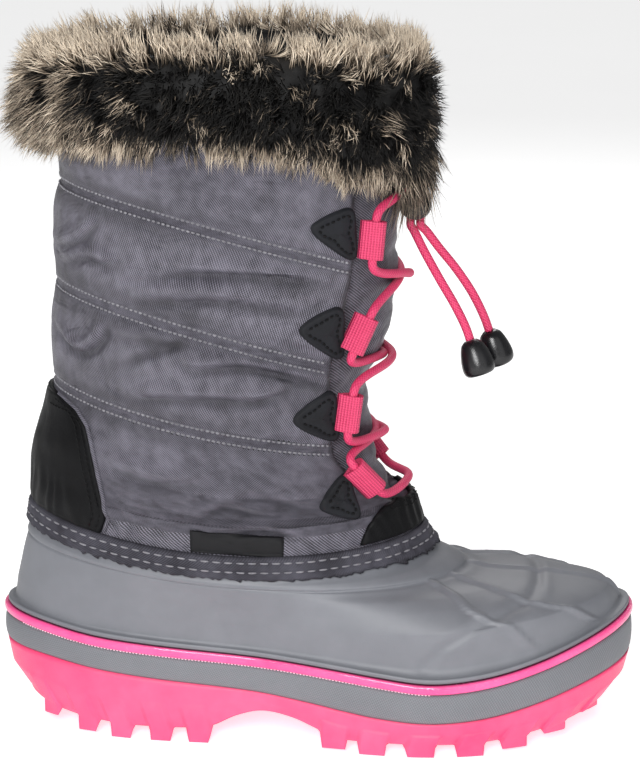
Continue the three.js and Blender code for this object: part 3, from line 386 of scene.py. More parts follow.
class Patchwork:
    """Grids of points gathered into one mesh, its coincident edges joined at the end."""

    def __init__(self) -> None:
        """Start with no points and no faces."""
        self.points: list[np.ndarray] = []
        self.faces: list[np.ndarray] = []
        self.uvs: list[np.ndarray] = []
        self.slots: list[np.ndarray] = []
        self.tones: list[np.ndarray] = []
        self.count = 0

    def grid(
        self, points: np.ndarray, uv: np.ndarray | None = None, wrap: bool = False, slot: int = 0,
        tone: np.ndarray | float = 0.0,
    ) -> None:
        """Add a grid: each point joins its neighbours along the row and to the next row by quads.

        Args:
            points: Rows by columns by 3, in millimetres.
            uv: Rows by columns by 2, with one more column when the rows wrap round.
            wrap: Whether each row's last point joins its first.
            slot: Which of the piece's finishes the grid wears.
            tone: A value for each point, kept as the attribute "tone".
        """
        rows, columns = points.shape[:2]
        index = np.arange(rows * columns).reshape(rows, columns) + self.count
        mark = np.arange(rows * (columns + wrap)).reshape(rows, columns + wrap)
        if wrap:
            index = np.concatenate([index, index[:, :1]], axis=1)
        if uv is None:
            uv = np.zeros((rows, columns + wrap, 2))
        corners = [(slice(None, -1), slice(None, -1)), (slice(None, -1), slice(1, None)),
                   (slice(1, None), slice(1, None)), (slice(1, None), slice(None, -1))]
        quads = np.stack([index[c] for c in corners], axis=-1).reshape(-1, 4)
        flat_uv = uv.reshape(-1, 2)[np.stack([mark[c] for c in corners], axis=-1).reshape(-1, 4)]
        self.points.append(points.reshape(-1, 3))
        self.tones.append(np.broadcast_to(np.asarray(tone, float), (rows, columns)).reshape(-1))
        self.faces.append(quads)
        self.uvs.append(flat_uv.reshape(-1, 2))
        self.slots.append(np.full(len(quads), slot))
        self.count += rows * columns

    def copies(
        self, shape: np.ndarray, faces: np.ndarray, at: np.ndarray, axes: np.ndarray, tone: np.ndarray | float = 0.0,
        slot: int = 0,
    ) -> None:
        """Add a small shape many times: each copy is its place plus the shape's points times its axes.

        Args:
            shape: The shape's points, in its own axes.
            faces: Its faces as rows of point numbers.
            at: The copies' places.
            axes: Copies by 3 by 3, each axis a row.
            tone: A value for each copy.
            slot: Which of the piece's finishes the copies wear.
        """
        number, size = len(at), len(shape)
        placed = at[:, None, :] + np.einsum("sk,nkc->nsc", shape, axes)
        index = faces[None] + (np.arange(number) * size)[:, None, None] + self.count
        index = index.reshape(-1, faces.shape[1])
        self.points.append(placed.reshape(-1, 3))
        self.tones.append(np.repeat(np.broadcast_to(np.asarray(tone, float), (number,)), size))
        self.faces.append(index)
        self.uvs.append(np.zeros((index.size, 2)))
        self.slots.append(np.full(len(index), slot))
        self.count += number * size

    def ladder(self, fine: np.ndarray, coarse: np.ndarray, step: int, slot: int = 0) -> None:
        """Add a strip between a line of points and one with every step-th of them, as long faces."""
        cells = len(coarse) - 1
        first = np.arange(cells)[:, None] * step + np.arange(step + 1)[None]
        last = np.stack([np.arange(cells) + 1, np.arange(cells)], axis=1) + len(fine)
        faces = np.concatenate([first, last], axis=1) + self.count
        self.points.append(np.concatenate([fine, coarse]))
        self.tones.append(np.zeros(len(fine) + len(coarse)))
        self.faces.append(faces)
        self.uvs.append(np.zeros((faces.size, 2)))
        self.slots.append(np.full(cells, slot))
        self.count += len(fine) + len(coarse)

    def slab(self, top: np.ndarray, under: np.ndarray, uv: np.ndarray | None = None, slot: int = 0) -> None:
        """Add a sheet with a thickness: its top grid, its under grid and a strip along each edge."""
        self.grid(top, uv, slot=slot)
        self.grid(under[:, ::-1], None if uv is None else uv[:, ::-1], slot=slot)
        for edge in (np.s_[0], np.s_[-1], np.s_[:, 0], np.s_[:, -1]):
            marks = None if uv is None else np.stack([uv[edge], uv[edge]])
            self.grid(np.stack([top[edge], under[edge]]), marks, slot=slot)

    def piece(self, name: str, finishes: list, join: bool = True) -> bpy.types.Object:
        """Write the mesh, join coincident points, turn its faces outwards and put it in the scene.

        Args:
            name: The piece's name.
            finishes: Its materials, in slot order.
            join: Whether coincident points are merged and the normals worked out again.

        Returns:
            The new object, at the origin.
        """
        mesh = bpy.data.meshes.new(name)
        points = np.concatenate(self.points) * MM
        sizes = np.concatenate([np.full(len(f), f.shape[1]) for f in self.faces])
        mesh.vertices.add(len(points))
        mesh.vertices.foreach_set("co", points.ravel())
        mesh.loops.add(int(sizes.sum()))
        mesh.loops.foreach_set("vertex_index", np.concatenate([f.ravel() for f in self.faces]))
        mesh.polygons.add(len(sizes))
        mesh.polygons.foreach_set("loop_start", np.concatenate([[0], np.cumsum(sizes)[:-1]]))
        mesh.polygons.foreach_set("loop_total", sizes)
        mesh.polygons.foreach_set("material_index", np.concatenate(self.slots))
        mesh.polygons.foreach_set("use_smooth", np.ones(len(sizes), bool))
        mesh.update(calc_edges=True)
        layer = mesh.uv_layers.new(name="cut")
        layer.uv.foreach_set("vector", np.concatenate(self.uvs).ravel())
        tone = mesh.attributes.new("tone", "FLOAT", "POINT")
        tone.data.foreach_set("value", np.concatenate(self.tones))
        if join:
            work = bmesh.new()
            work.from_mesh(mesh)
            bmesh.ops.remove_doubles(work, verts=work.verts, dist=8e-6)
            bmesh.ops.recalc_face_normals(work, faces=work.faces)
            work.to_mesh(mesh)
            work.free()
        mesh.validate()
        piece = bpy.data.objects.new(name, mesh)
        for finish in finishes:
            mesh.materials.append(finish)
        bpy.context.scene.collection.objects.link(piece)
        LOG.info("%s: %d faces", name, len(mesh.polygons))
        return piece


def across(points: np.ndarray, other: np.ndarray, rows: int) -> np.ndarray:
    """Rows of points that run straight from one line of points to another."""
    share = np.linspace(0.0, 1.0, rows)[:, None, None]
    return points[None] * (1.0 - share) + other[None] * share


def carried_axes(line: np.ndarray) -> tuple[np.ndarray, np.ndarray]:
    """Two ways across a line, carried from each point to the next without twist."""
    ahead = unit(np.gradient(line, axis=0))
    side = unit(np.cross(ahead[0], [0.3, 0.9, 0.2]))
    sides = []
    for way in ahead:
        side = unit(side - (side @ way) * way)
        sides.append(side)
    return np.array(sides), np.cross(ahead, np.array(sides))


def tube(line: np.ndarray, radius: np.ndarray | float, sides: int) -> tuple[np.ndarray, np.ndarray]:
    """Round tube: each point of the line gives a circle of the radius in the plane across it.

    Args:
        line: The centre line.
        radius: One radius, or one for each point.
        sides: Points round each circle.

    Returns:
        The grid of points, and its UV in millimetres round and along.
    """
    first, second = carried_axes(line)
    turn = np.linspace(0.0, FULL_TURN, sides, endpoint=False)
    size = np.broadcast_to(np.asarray(radius, float), (len(line),))[:, None, None]
    round_way = np.cos(turn)[None, :, None] * first[:, None] + np.sin(turn)[None, :, None] * second[:, None]
    length = length_along(line)
    u = np.linspace(0.0, FULL_TURN * float(np.max(radius)), sides + 1)
    uv = np.stack(np.broadcast_arrays(u[None, :], length[:, None]), axis=-1)
    return line[:, None] + round_way * size, uv


def closed_tube(work: Patchwork, line: np.ndarray, radius: float, sides: int, slot: int = 0) -> None:
    """Add a tube whose two ends draw in to a point."""
    grid, uv = tube(line, radius, sides)
    first = np.repeat(line[:1, None], sides, axis=1)
    last = np.repeat(line[-1:, None], sides, axis=1)
    work.grid(np.concatenate([first, grid, last]), np.concatenate([uv[:1], uv, uv[-1:]]), wrap=True, slot=slot)


def lathe(work: Patchwork, start: np.ndarray, way: np.ndarray, profile: np.ndarray, sides: int, slot: int = 0) -> None:
    """Add a turned form: each profile row is a distance along the axis and a radius round it."""
    way = unit(np.asarray(way, float))
    first = unit(np.cross(way, [0.31, 0.2, 0.9]))
    second = np.cross(way, first)
    turn = np.linspace(0.0, FULL_TURN, sides, endpoint=False)
    round_way = np.cos(turn)[:, None] * first + np.sin(turn)[:, None] * second
    grid = start + profile[:, None, :1] * way + profile[:, None, 1:] * round_way
    u = np.linspace(0.0, 20.0, sides + 1)
    work.grid(grid, np.stack(np.broadcast_arrays(u[None, :], profile[:, :1]), axis=-1), wrap=True, slot=slot)


def round_profile(corners: list[tuple[float, float, float]], steps: int = 5) -> np.ndarray:
    """Profile through corners of distance, radius and rounding, each corner cut by a curve.

    Args:
        corners: Distance, radius and how far from the corner its rounding starts.
        steps: Points on each rounding.

    Returns:
        The profile's points.
    """
    rows = [np.array(corners[0][:2])]
    for before, here, after in zip(corners, corners[1:], corners[2:]):
        at, r = np.array(here[:2]), here[2]
        a = at + unit(np.array(before[:2]) - at) * r
        b = at + unit(np.array(after[:2]) - at) * r
        t = np.linspace(0.0, 1.0, steps)[:, None]
        rows.extend((1 - t) ** 2 * a + 2 * t * (1 - t) * at + t**2 * b)
    rows.append(np.array(corners[-1][:2]))
    return np.array(rows)


def thread(
    work: Patchwork, line: np.ndarray, out: np.ndarray, pitch: float, length: float, width: float, rise: float,
    slot: int = 0,
) -> None:
    """Add a row of stitches: small pillows spaced by the pitch along a line, each flat to the cloth.

    Args:
        work: Where the stitches go.
        line: The seam's line on the surface.
        out: The outward way at each of its points.
        pitch: Distance from one stitch to the next.
        length: Length of a stitch.
        width: Width of a stitch.
        rise: Height of its back over the surface.
        slot: Which finish it wears.
    """
    reach = length_along(line)
    centres = np.arange(pitch / 2.0, reach[-1] - pitch / 3.0, pitch)
    at = np.stack([np.interp(centres, reach, line[:, k]) for k in range(3)], axis=1)
    way = np.stack([np.interp(centres, reach, np.gradient(line[:, k], reach)) for k in range(3)], axis=1)
    lean = np.stack([np.interp(centres, reach, out[:, k]) for k in range(3)], axis=1)
    way = unit(way)
    lean = unit(lean - (lean * way).sum(-1, keepdims=True) * way)
    side = np.cross(way, lean)
    turn = np.linspace(0.0, FULL_TURN, 5, endpoint=False)
    rows = [(-0.5, 0.0, -0.5), (-0.42, 0.7, 0.1), (-0.14, 1.0, 1.0), (0.14, 1.0, 1.0), (0.42, 0.7, 0.1),
            (0.5, 0.0, -0.5)]
    shape = np.array([
        (a * length, w * width / 2.0 * c, rise * (0.5 * w * s + 0.25 * u))
        for a, w, u in rows for c, s in zip(np.cos(turn), np.sin(turn))
    ])
    count = len(turn)
    first = np.arange(count)
    nxt = (first + 1) % count
    faces = np.concatenate([
        np.stack([first + r * count, first + (r + 1) * count, nxt + (r + 1) * count, nxt + r * count], axis=1)
        for r in range(len(rows) - 1)
    ])
    work.copies(shape, faces, at, np.stack([way, side, lean], axis=1), slot=slot)


# Shader groups and finishes


class Bench:
    """A node tree under work, with short calls that add a node and join its sockets."""

    def __init__(self, tree: bpy.types.NodeTree) -> None:
        """Work on an empty tree."""
        self.tree = tree

    def node(self, kind: str, inputs: dict | None = None, **settings: object) -> bpy.types.Node:
        """Add a node, set its properties, and join or set its inputs by name or number."""
        made = self.tree.nodes.new(kind)
        for name, value in settings.items():
            setattr(made, name, value)
        for name, value in (inputs or {}).items():
            if isinstance(value, bpy.types.NodeSocket):
                self.tree.links.new(value, made.inputs[name])
            else:
                made.inputs[name].default_value = value
        return made

    def math(self, operation: str, *values: object) -> bpy.types.NodeSocket:
        """Add a Math node over the values and give its output."""
        return self.node("ShaderNodeMath", dict(enumerate(values)), operation=operation).outputs[0]

    def ramp(self, value: object, stops: list[tuple[float, float]]) -> bpy.types.NodeSocket:
        """Map a value from one pair of numbers to another, clamped: from the first stop to the last."""
        (a, b), (c, d) = stops
        names = {"Value": value, "From Min": a, "From Max": c, "To Min": b, "To Max": d}
        return self.node("ShaderNodeMapRange", names).outputs[0]

    def mix(self, factor: object, a: object, b: object, blend: str = "MIX") -> bpy.types.NodeSocket:
        """Mix two colours by a factor."""
        made = self.node("ShaderNodeMix", data_type="RGBA", blend_type=blend)
        for number, value in ((0, factor), (6, a), (7, b)):
            if isinstance(value, bpy.types.NodeSocket):
                self.tree.links.new(value, made.inputs[number])
            else:
                made.inputs[number].default_value = value
        return made.outputs[2]


def shader_group(
    name: str, inputs: dict[str, tuple[str, float]], outputs: list[str]
) -> tuple[Bench, dict, bpy.types.Node]:
    """Make an empty shader node group with named sockets.

    Args:
        name: The group's name.
        inputs: Each input's name with its kind, Float or Vector, and a default.
        outputs: The outputs' names, all numbers.

    Returns:
        A bench on the group, its inputs by name and its output node.
    """
    tree = bpy.data.node_groups.new(name, "ShaderNodeTree")
    for title, (kind, default) in inputs.items():
        socket = tree.interface.new_socket(title, in_out="INPUT", socket_type=f"NodeSocket{kind}")
        if kind == "Float":
            socket.default_value = default
    for title in outputs:
        tree.interface.new_socket(title, in_out="OUTPUT", socket_type="NodeSocketFloat")
    bench = Bench(tree)
    given = bench.node("NodeGroupInput")
    taken = bench.node("NodeGroupOutput")
    return bench, {s.name: s for s in given.outputs}, taken


def make_mottle() -> bpy.types.NodeTree:
    """Group for uneven tone: broad noise with finer noise on it, from 0 to 1."""
    b, given, taken = shader_group("mottle", {"Vector": ("Vector", 0), "Size": ("Float", 0.03)}, ["Mask"])
    scale = b.math("DIVIDE", 1.0, given["Size"])
    broad = b.node("ShaderNodeTexNoise", {"Vector": given["Vector"], "Scale": scale, "Detail": 3.0})
    finer = b.math("MULTIPLY", scale, 7.0)
    fine = b.node("ShaderNodeTexNoise", {"Vector": given["Vector"], "Scale": finer, "Detail": 2.0})
    both = b.math("ADD", b.math("MULTIPLY", broad.outputs[0], 0.72), b.math("MULTIPLY", fine.outputs[0], 0.28))
    b.tree.links.new(b.ramp(both, [(0.32, 0.0), (0.68, 1.0)]), taken.inputs["Mask"])
    return b.tree


def make_weave() -> bpy.types.NodeTree:
    """Group for a twill: sines along and across the cut's UV, in millimetres, as height and shade."""
    b, given, taken = shader_group(
        "weave", {"Vector": ("Vector", 0), "Pitch": ("Float", 0.6), "Slant": ("Float", 1.0)}, ["Height", "Shade"]
    )
    parts = b.node("ShaderNodeSeparateXYZ", {0: given["Vector"]})
    rate = b.math("DIVIDE", FULL_TURN, given["Pitch"])
    u = b.math("MULTIPLY", parts.outputs[0], rate)
    v = b.math("MULTIPLY", parts.outputs[1], rate)
    twill = b.math("SINE", b.math("ADD", u, b.math("MULTIPLY", v, given["Slant"])))
    cross = b.math("SINE", b.math("SUBTRACT", b.math("MULTIPLY", v, 2.0), u))
    sum_ = b.math("ADD", b.math("MULTIPLY", twill, 0.35), b.math("MULTIPLY", cross, 0.15))
    height = b.math("ADD", sum_, 0.5)
    wander = b.node("ShaderNodeTexNoise", {"Vector": given["Vector"], "Scale": 0.22, "Detail": 2.0})
    b.tree.links.new(height, taken.inputs["Height"])
    b.tree.links.new(b.math("ADD", b.math("MULTIPLY", height, 0.6), b.math("MULTIPLY", wander.outputs[0], 0.4)),
                     taken.inputs["Shade"])
    return b.tree


def make_grain() -> bpy.types.NodeTree:
    """Group for pores and creases: cell edges with noise between them, as a height."""
    b, given, taken = shader_group("grain", {"Vector": ("Vector", 0), "Size": ("Float", 0.001)}, ["Height"])
    scale = b.math("DIVIDE", 1.0, given["Size"])
    cells = b.node("ShaderNodeTexVoronoi", {"Vector": given["Vector"], "Scale": scale}, feature="DISTANCE_TO_EDGE")
    finer = b.math("MULTIPLY", scale, 1.7)
    noise = b.node("ShaderNodeTexNoise", {"Vector": given["Vector"], "Scale": finer, "Detail": 3.0})
    edge = b.ramp(cells.outputs["Distance"], [(0.0, 0.0), (0.12, 0.6)])
    b.tree.links.new(b.math("ADD", edge, b.math("MULTIPLY", noise.outputs[0], 0.4)), taken.inputs["Height"])
    return b.tree


def make_crumple() -> bpy.types.NodeTree:
    """Group for thin cloth's small creases: folded noise, longer along the boot than up it."""
    b, given, taken = shader_group("crumple", {"Vector": ("Vector", 0), "Size": ("Float", 0.012)}, ["Height"])
    longer = b.node("ShaderNodeMapping", {"Vector": given["Vector"], "Scale": (0.62, 0.8, 1.25)})
    scale = b.math("DIVIDE", 1.0, given["Size"])
    at, finer = longer.outputs[0], b.math("MULTIPLY", scale, 2.6)
    broad = b.node("ShaderNodeTexNoise", {"Vector": at, "Scale": scale, "Detail": 2.0, "Distortion": 0.8})
    fine = b.node("ShaderNodeTexNoise", {"Vector": at, "Scale": finer, "Detail": 1.0})
    folded = b.math("ABSOLUTE", b.math("SUBTRACT", b.math("MULTIPLY", broad.outputs[0], 2.0), 1.0))
    small = b.math("ABSOLUTE", b.math("SUBTRACT", b.math("MULTIPLY", fine.outputs[0], 2.0), 1.0))
    b.tree.links.new(b.math("ADD", folded, b.math("MULTIPLY", small, 0.3)), taken.inputs["Height"])
    return b.tree


def make_ribs() -> bpy.types.NodeTree:
    """Group for woven ribs and braids: sines along the cut's UV crossed with sines across it."""
    b, given, taken = shader_group(
        "ribs", {"Vector": ("Vector", 0), "Pitch": ("Float", 1.0), "Cross": ("Float", 1.0), "Lean": ("Float", 0.0)},
        ["Height"],
    )
    parts = b.node("ShaderNodeSeparateXYZ", {0: given["Vector"]})
    u = b.math("DIVIDE", b.math("MULTIPLY", parts.outputs[0], FULL_TURN), given["Pitch"])
    v = b.math("DIVIDE", b.math("MULTIPLY", parts.outputs[1], FULL_TURN), given["Cross"])
    lean = b.math("MULTIPLY", v, given["Lean"])
    first = b.math("SINE", b.math("ADD", u, lean))
    second = b.math("SINE", b.math("SUBTRACT", v, b.math("MULTIPLY", u, given["Lean"])))
    height = b.math("ADD", b.math("MULTIPLY", first, 0.3), b.math("MULTIPLY", second, 0.2))
    b.tree.links.new(b.math("ADD", height, 0.5), taken.inputs["Height"])
    return b.tree


class Groups:
    """The shader groups that the finishes share, each built once."""

    def __init__(self) -> None:
        """Build every group."""
        self.mottle = make_mottle()
        self.weave = make_weave()
        self.grain = make_grain()
        self.ribs = make_ribs()
        self.crumple = make_crumple()


Colour = tuple[float, float, float]


def paint(red: int, green: int, blue: int) -> Colour:
    """A screen colour of 0 to 255 as the linear one that a shader takes."""
    parts = [c / 255.0 for c in (red, green, blue)]
    return tuple(c / 12.92 if c <= 0.04045 else ((c + 0.055) / 1.055) ** 2.4 for c in parts)


@dataclass(frozen=True)
class Finish:
    """A plain moulded finish: two near colours mottled, a roughness that wanders and a fine grain."""

    name: str
    dark: Colour
    light: Colour
    rough: tuple[float, float] = (0.4, 0.55)
    mottle_size: float = 0.03
    grain_size: float = 0.0006
    grain_depth: float = 0.00004
    specular: float = 0.5
    sheen: float = 0.0
    coat: float = 0.0

    def start(self, groups: Groups) -> tuple[Bench, bpy.types.Node, bpy.types.Node, bpy.types.NodeSocket]:
        """Make the material with its Principled shader, its coordinates and its mottle mask."""
        made = bpy.data.materials.new(self.name)
        made.use_nodes = True
        made.node_tree.nodes.clear()
        bench = Bench(made.node_tree)
        shader = bench.node("ShaderNodeBsdfPrincipled")
        shader.inputs["Specular IOR Level"].default_value = self.specular
        shader.inputs["Sheen Weight"].default_value = self.sheen
        shader.inputs["Coat Weight"].default_value = self.coat
        bench.node("ShaderNodeOutputMaterial", {"Surface": shader.outputs[0]})
        place = bench.node("ShaderNodeTexCoord")
        mask = self.group(bench, groups.mottle, {"Vector": place.outputs["Object"], "Size": self.mottle_size})
        return bench, shader, place, mask.outputs["Mask"]

    @staticmethod
    def group(bench: Bench, tree: bpy.types.NodeTree, inputs: dict) -> bpy.types.Node:
        """Place a shader group in the material and fill its inputs."""
        made = bench.node("ShaderNodeGroup", node_tree=tree)
        for name, value in inputs.items():
            if isinstance(value, bpy.types.NodeSocket):
                bench.tree.links.new(value, made.inputs[name])
            else:
                made.inputs[name].default_value = value
        return made

    def finish(
        self, bench: Bench, shader: bpy.types.Node, colour: bpy.types.NodeSocket, rough: bpy.types.NodeSocket,
        height: bpy.types.NodeSocket, depth: float,
    ) -> bpy.types.Material:
        """Join colour, roughness and the height's bump to the shader."""
        bump = bench.node("ShaderNodeBump", {"Height": height, "Strength": 1.0, "Distance": depth})
        bench.tree.links.new(bump.outputs[0], shader.inputs["Normal"])
        bench.tree.links.new(colour, shader.inputs["Base Color"])
        bench.tree.links.new(rough, shader.inputs["Roughness"])
        return next(made for made in bpy.data.materials if made.node_tree == bench.tree)

    def build(self, groups: Groups) -> bpy.types.Material:
        """Build the material."""
        bench, shader, place, mask = self.start(groups)
        colour = bench.mix(mask, (*self.dark, 1.0), (*self.light, 1.0))
        grain = self.group(bench, groups.grain, {"Vector": place.outputs["Object"], "Size": self.grain_size})
        rough = bench.ramp(mask, [(0.0, self.rough[0]), (1.0, self.rough[1])])
        return self.finish(bench, shader, colour, rough, grain.outputs["Height"], self.grain_depth)


@dataclass(frozen=True)
class Cloth(Finish):
    """A woven finish on the piece's own UV: twill in height and tone, darker by the attribute, which paints shade."""

    pitch: float = 0.6
    slant: float = 1.0
    depth: float = 0.00012
    contrast: float = 0.5
    shade: Colour = (0.02, 0.02, 0.025)
    crumple: float = 0.0
    crumple_size: float = 0.012

    def build(self, groups: Groups) -> bpy.types.Material:
        """Build the material; the attribute tone mixes in the shade colour as painted shade."""
        bench, shader, place, mask = self.start(groups)
        weave = self.group(bench, groups.weave,
                           {"Vector": place.outputs["UV"], "Pitch": self.pitch, "Slant": self.slant})
        tone = bench.node("ShaderNodeAttribute", attribute_name="tone")
        blend = bench.math("ADD", bench.math("MULTIPLY", weave.outputs["Shade"], self.contrast),
                           bench.math("MULTIPLY", mask, 1.0 - self.contrast))
        blend = bench.ramp(blend, [(0.28, 0.0), (0.72, 1.0)])
        colour = bench.mix(blend, (*self.dark, 1.0), (*self.light, 1.0))
        # Painted shade: the tone attribute draws the colour towards the shade colour.
        colour = bench.mix(tone.outputs["Fac"], colour, (*self.shade, 1.0))
        rough = bench.ramp(mask, [(0.0, self.rough[0]), (1.0, self.rough[1])])
        made = self.finish(bench, shader, colour, rough, weave.outputs["Height"], self.depth)
        if self.crumple:
            folds = self.group(bench, groups.crumple, {"Vector": place.outputs["Object"], "Size": self.crumple_size})
            broad = bench.node("ShaderNodeBump",
                               {"Height": folds.outputs["Height"], "Strength": 1.0, "Distance": self.crumple})
            fine = shader.inputs["Normal"].links[0].from_node
            bench.tree.links.new(broad.outputs[0], fine.inputs["Normal"])
        return made


@dataclass(frozen=True)
class Ribbed(Finish):
    """A ribbed or braided finish on the piece's own UV."""

    pitch: float = 1.0
    cross: float = 1.0
    lean: float = 0.0
    depth: float = 0.00025

    def build(self, groups: Groups) -> bpy.types.Material:
        """Build the material, its hollows painted darker than its ribs as shade."""
        bench, shader, place, mask = self.start(groups)
        ribs = self.group(bench, groups.ribs,
                          {"Vector": place.outputs["UV"], "Pitch": self.pitch, "Cross": self.cross, "Lean": self.lean})
        # Painted shade: the ribs' height darkens the colour in their hollows.
        blend = bench.math("ADD", bench.math("MULTIPLY", ribs.outputs["Height"], 0.75),
                           bench.math("MULTIPLY", mask, 0.25))
        colour = bench.mix(blend, (*self.dark, 1.0), (*self.light, 1.0))
        rough = bench.ramp(mask, [(0.0, self.rough[0]), (1.0, self.rough[1])])
        return self.finish(bench, shader, colour, rough, ribs.outputs["Height"], self.depth)


@dataclass(frozen=True)
class Hair(Finish):
    """False fur: the attribute tone runs through four colours from the root's to the palest tip's."""

    stops: tuple[tuple[float, Colour], ...] = ()

    def build(self, groups: Groups) -> bpy.types.Material:
        """Build the material."""
        bench, shader, place, mask = self.start(groups)
        tone = bench.node("ShaderNodeAttribute", attribute_name="tone")
        wander = bench.math("ADD", tone.outputs["Fac"], bench.math("MULTIPLY", bench.math("SUBTRACT", mask, 0.5), 0.12))
        ramp = bench.node("ShaderNodeValToRGB", {"Fac": wander})
        while len(ramp.color_ramp.elements) < len(self.stops):
            ramp.color_ramp.elements.new(0.5)
        for element, (place_, colour) in zip(ramp.color_ramp.elements, self.stops):
            element.position = place_
            element.color = (*colour, 1.0)
        grain = self.group(bench, groups.grain, {"Vector": place.outputs["Object"], "Size": self.grain_size})
        rough = bench.ramp(mask, [(0.0, self.rough[0]), (1.0, self.rough[1])])
        return self.finish(bench, shader, ramp.outputs[0], rough, grain.outputs["Height"], self.grain_depth)


class Finishes:
    """Every finish on the boot, built from the shared groups."""

    def __init__(self) -> None:
        """Build the materials."""
        self.groups = groups = Groups()
        self.outsole = Finish("hot_pink_rubber", paint(246, 66, 118), paint(254, 94, 138), (0.36, 0.5),
                              0.04).build(groups)
        self.piping = Finish("pink_welt", paint(242, 66, 136), paint(255, 96, 160), (0.18, 0.3), 0.03,
                             coat=0.4).build(groups)
        self.shell = Finish("satin_grey_rubber", paint(107, 109, 115), paint(121, 123, 129), (0.42, 0.56), 0.05,
                            grain_size=0.0008, grain_depth=0.00002).build(groups)
        self.band = Ribbed("knurled_grey_rubber", paint(92, 94, 99), paint(128, 131, 136), (0.5, 0.62), 0.05,
                           pitch=0.9, cross=0.9, lean=0.6, depth=0.0001).build(groups)
        # The nylon's and the binding's shade colours are painted shade, laid on by their tone attribute.
        self.nylon = Cloth("padded_nylon", paint(22, 21, 25), paint(128, 125, 138), (0.34, 0.48), 0.022, specular=0.4,
                           pitch=1.0, contrast=0.85, depth=0.0003, shade=paint(34, 33, 38), crumple=0.0016,
                           crumple_size=0.014).build(groups)
        self.binding = Cloth("binding_cloth", paint(42, 41, 47), paint(82, 81, 90), (0.6, 0.75), 0.02,
                             specular=0.15, pitch=0.8, slant=-1.0, contrast=0.6, shade=paint(26, 25, 28)).build(groups)
        self.leather = Finish("black_leather", paint(3, 3, 4), paint(9, 9, 12), (0.44, 0.6), 0.012,
                              grain_size=0.0007, grain_depth=0.00006, specular=0.16).build(groups)
        self.patch_leather = Finish("patch_leather", paint(18, 19, 22), paint(28, 29, 34), (0.5, 0.64), 0.012,
                                    grain_size=0.0007, grain_depth=0.00006, specular=0.2).build(groups)
        self.label = Cloth("woven_label", paint(12, 12, 14), paint(24, 24, 27), (0.5, 0.65), 0.01, specular=0.25, pitch=0.4,
                           slant=0.0, contrast=0.7, depth=0.00006).build(groups)
        self.webbing = Ribbed("pink_webbing", paint(176, 28, 72), paint(236, 76, 122), (0.5, 0.65), 0.02,
                              pitch=1.15, cross=0.9, depth=0.0004).build(groups)
        self.cord = Ribbed("pink_braid", paint(180, 30, 76), paint(236, 72, 120), (0.48, 0.62), 0.02,
                           pitch=1.3, cross=1.5, lean=1.0, depth=0.00025).build(groups)
        self.plastic = Finish("black_plastic", paint(14, 14, 16), paint(22, 22, 25), (0.2, 0.34), 0.01,
                              grain_depth=0.00001).build(groups)
        self.felt = Finish("grey_felt", paint(92, 90, 92), paint(130, 127, 128), (0.85, 0.95), 0.006,
                           grain_size=0.0009, grain_depth=0.0004, specular=0.1, sheen=0.3).build(groups)
        self.grey_thread = Finish("grey_thread", paint(98, 97, 103), paint(146, 145, 150), (0.55, 0.7),
                                  0.002).build(groups)
        self.black_thread = Finish("black_thread", paint(4, 4, 5), paint(12, 12, 13), (0.6, 0.75), 0.002,
                                   specular=0.2).build(groups)
        # The flash's pale colour is a painted highlight on its small ridges.
        self.flash_highlight = Finish("pale_flash", paint(238, 190, 212), paint(252, 226, 236), (0.4, 0.55), 0.002).build(groups)
        # Painted shade of the needle holes beside the quilt stitches.
        self.needle_hole = Finish("needle_hole", paint(18, 18, 20), paint(30, 29, 32), (0.8, 0.9), 0.002).build(groups)
        self.hair = Hair("false_fur", paint(8, 8, 9), paint(20, 19, 20), (0.5, 0.7), 0.012, grain_size=0.0006,
                         grain_depth=0.00003, specular=0.25,
                         stops=((0.0, paint(6, 6, 7)), (0.3, paint(38, 36, 34)), (0.55, paint(158, 142, 124)),
                                (0.9, paint(246, 230, 208)))).build(groups)


# Sole


def dressed(piece: bpy.types.Object, slot: str, *nodes: str) -> bpy.types.Object:
    """Let a piece ride on the boot's one body and stand for its nodes, which it hides."""
    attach(piece, "root")
    if nodes:
        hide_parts(*nodes)
    return piece


LUGS = np.array([
    (0.049, 0.037, 0.12), (0.115, 0.038, 0.03), (0.174, 0.04, 0), (0.242, 0.04, 0), (0.307, 0.041, 0),
    (0.535, 0.046, 0.035), (0.6, 0.048, 0), (0.68, 0.051, 0), (0.763, 0.05, 0), (0.836, 0.049, 0.045),
    (0.904, 0.048, 0.13), (0.966, 0.046, 0.245),
])
MIDDLE_BLOCKS = np.array([
    (0.165, 0.055, 0.075, 0), (0.275, 0.055, 0.075, 0), (0.575, 0.05, 0.085, 0.02),
    (0.668, 0.055, 0.11, 0), (0.765, 0.055, 0.12, 0), (0.86, 0.045, 0.095, 0.09),
])


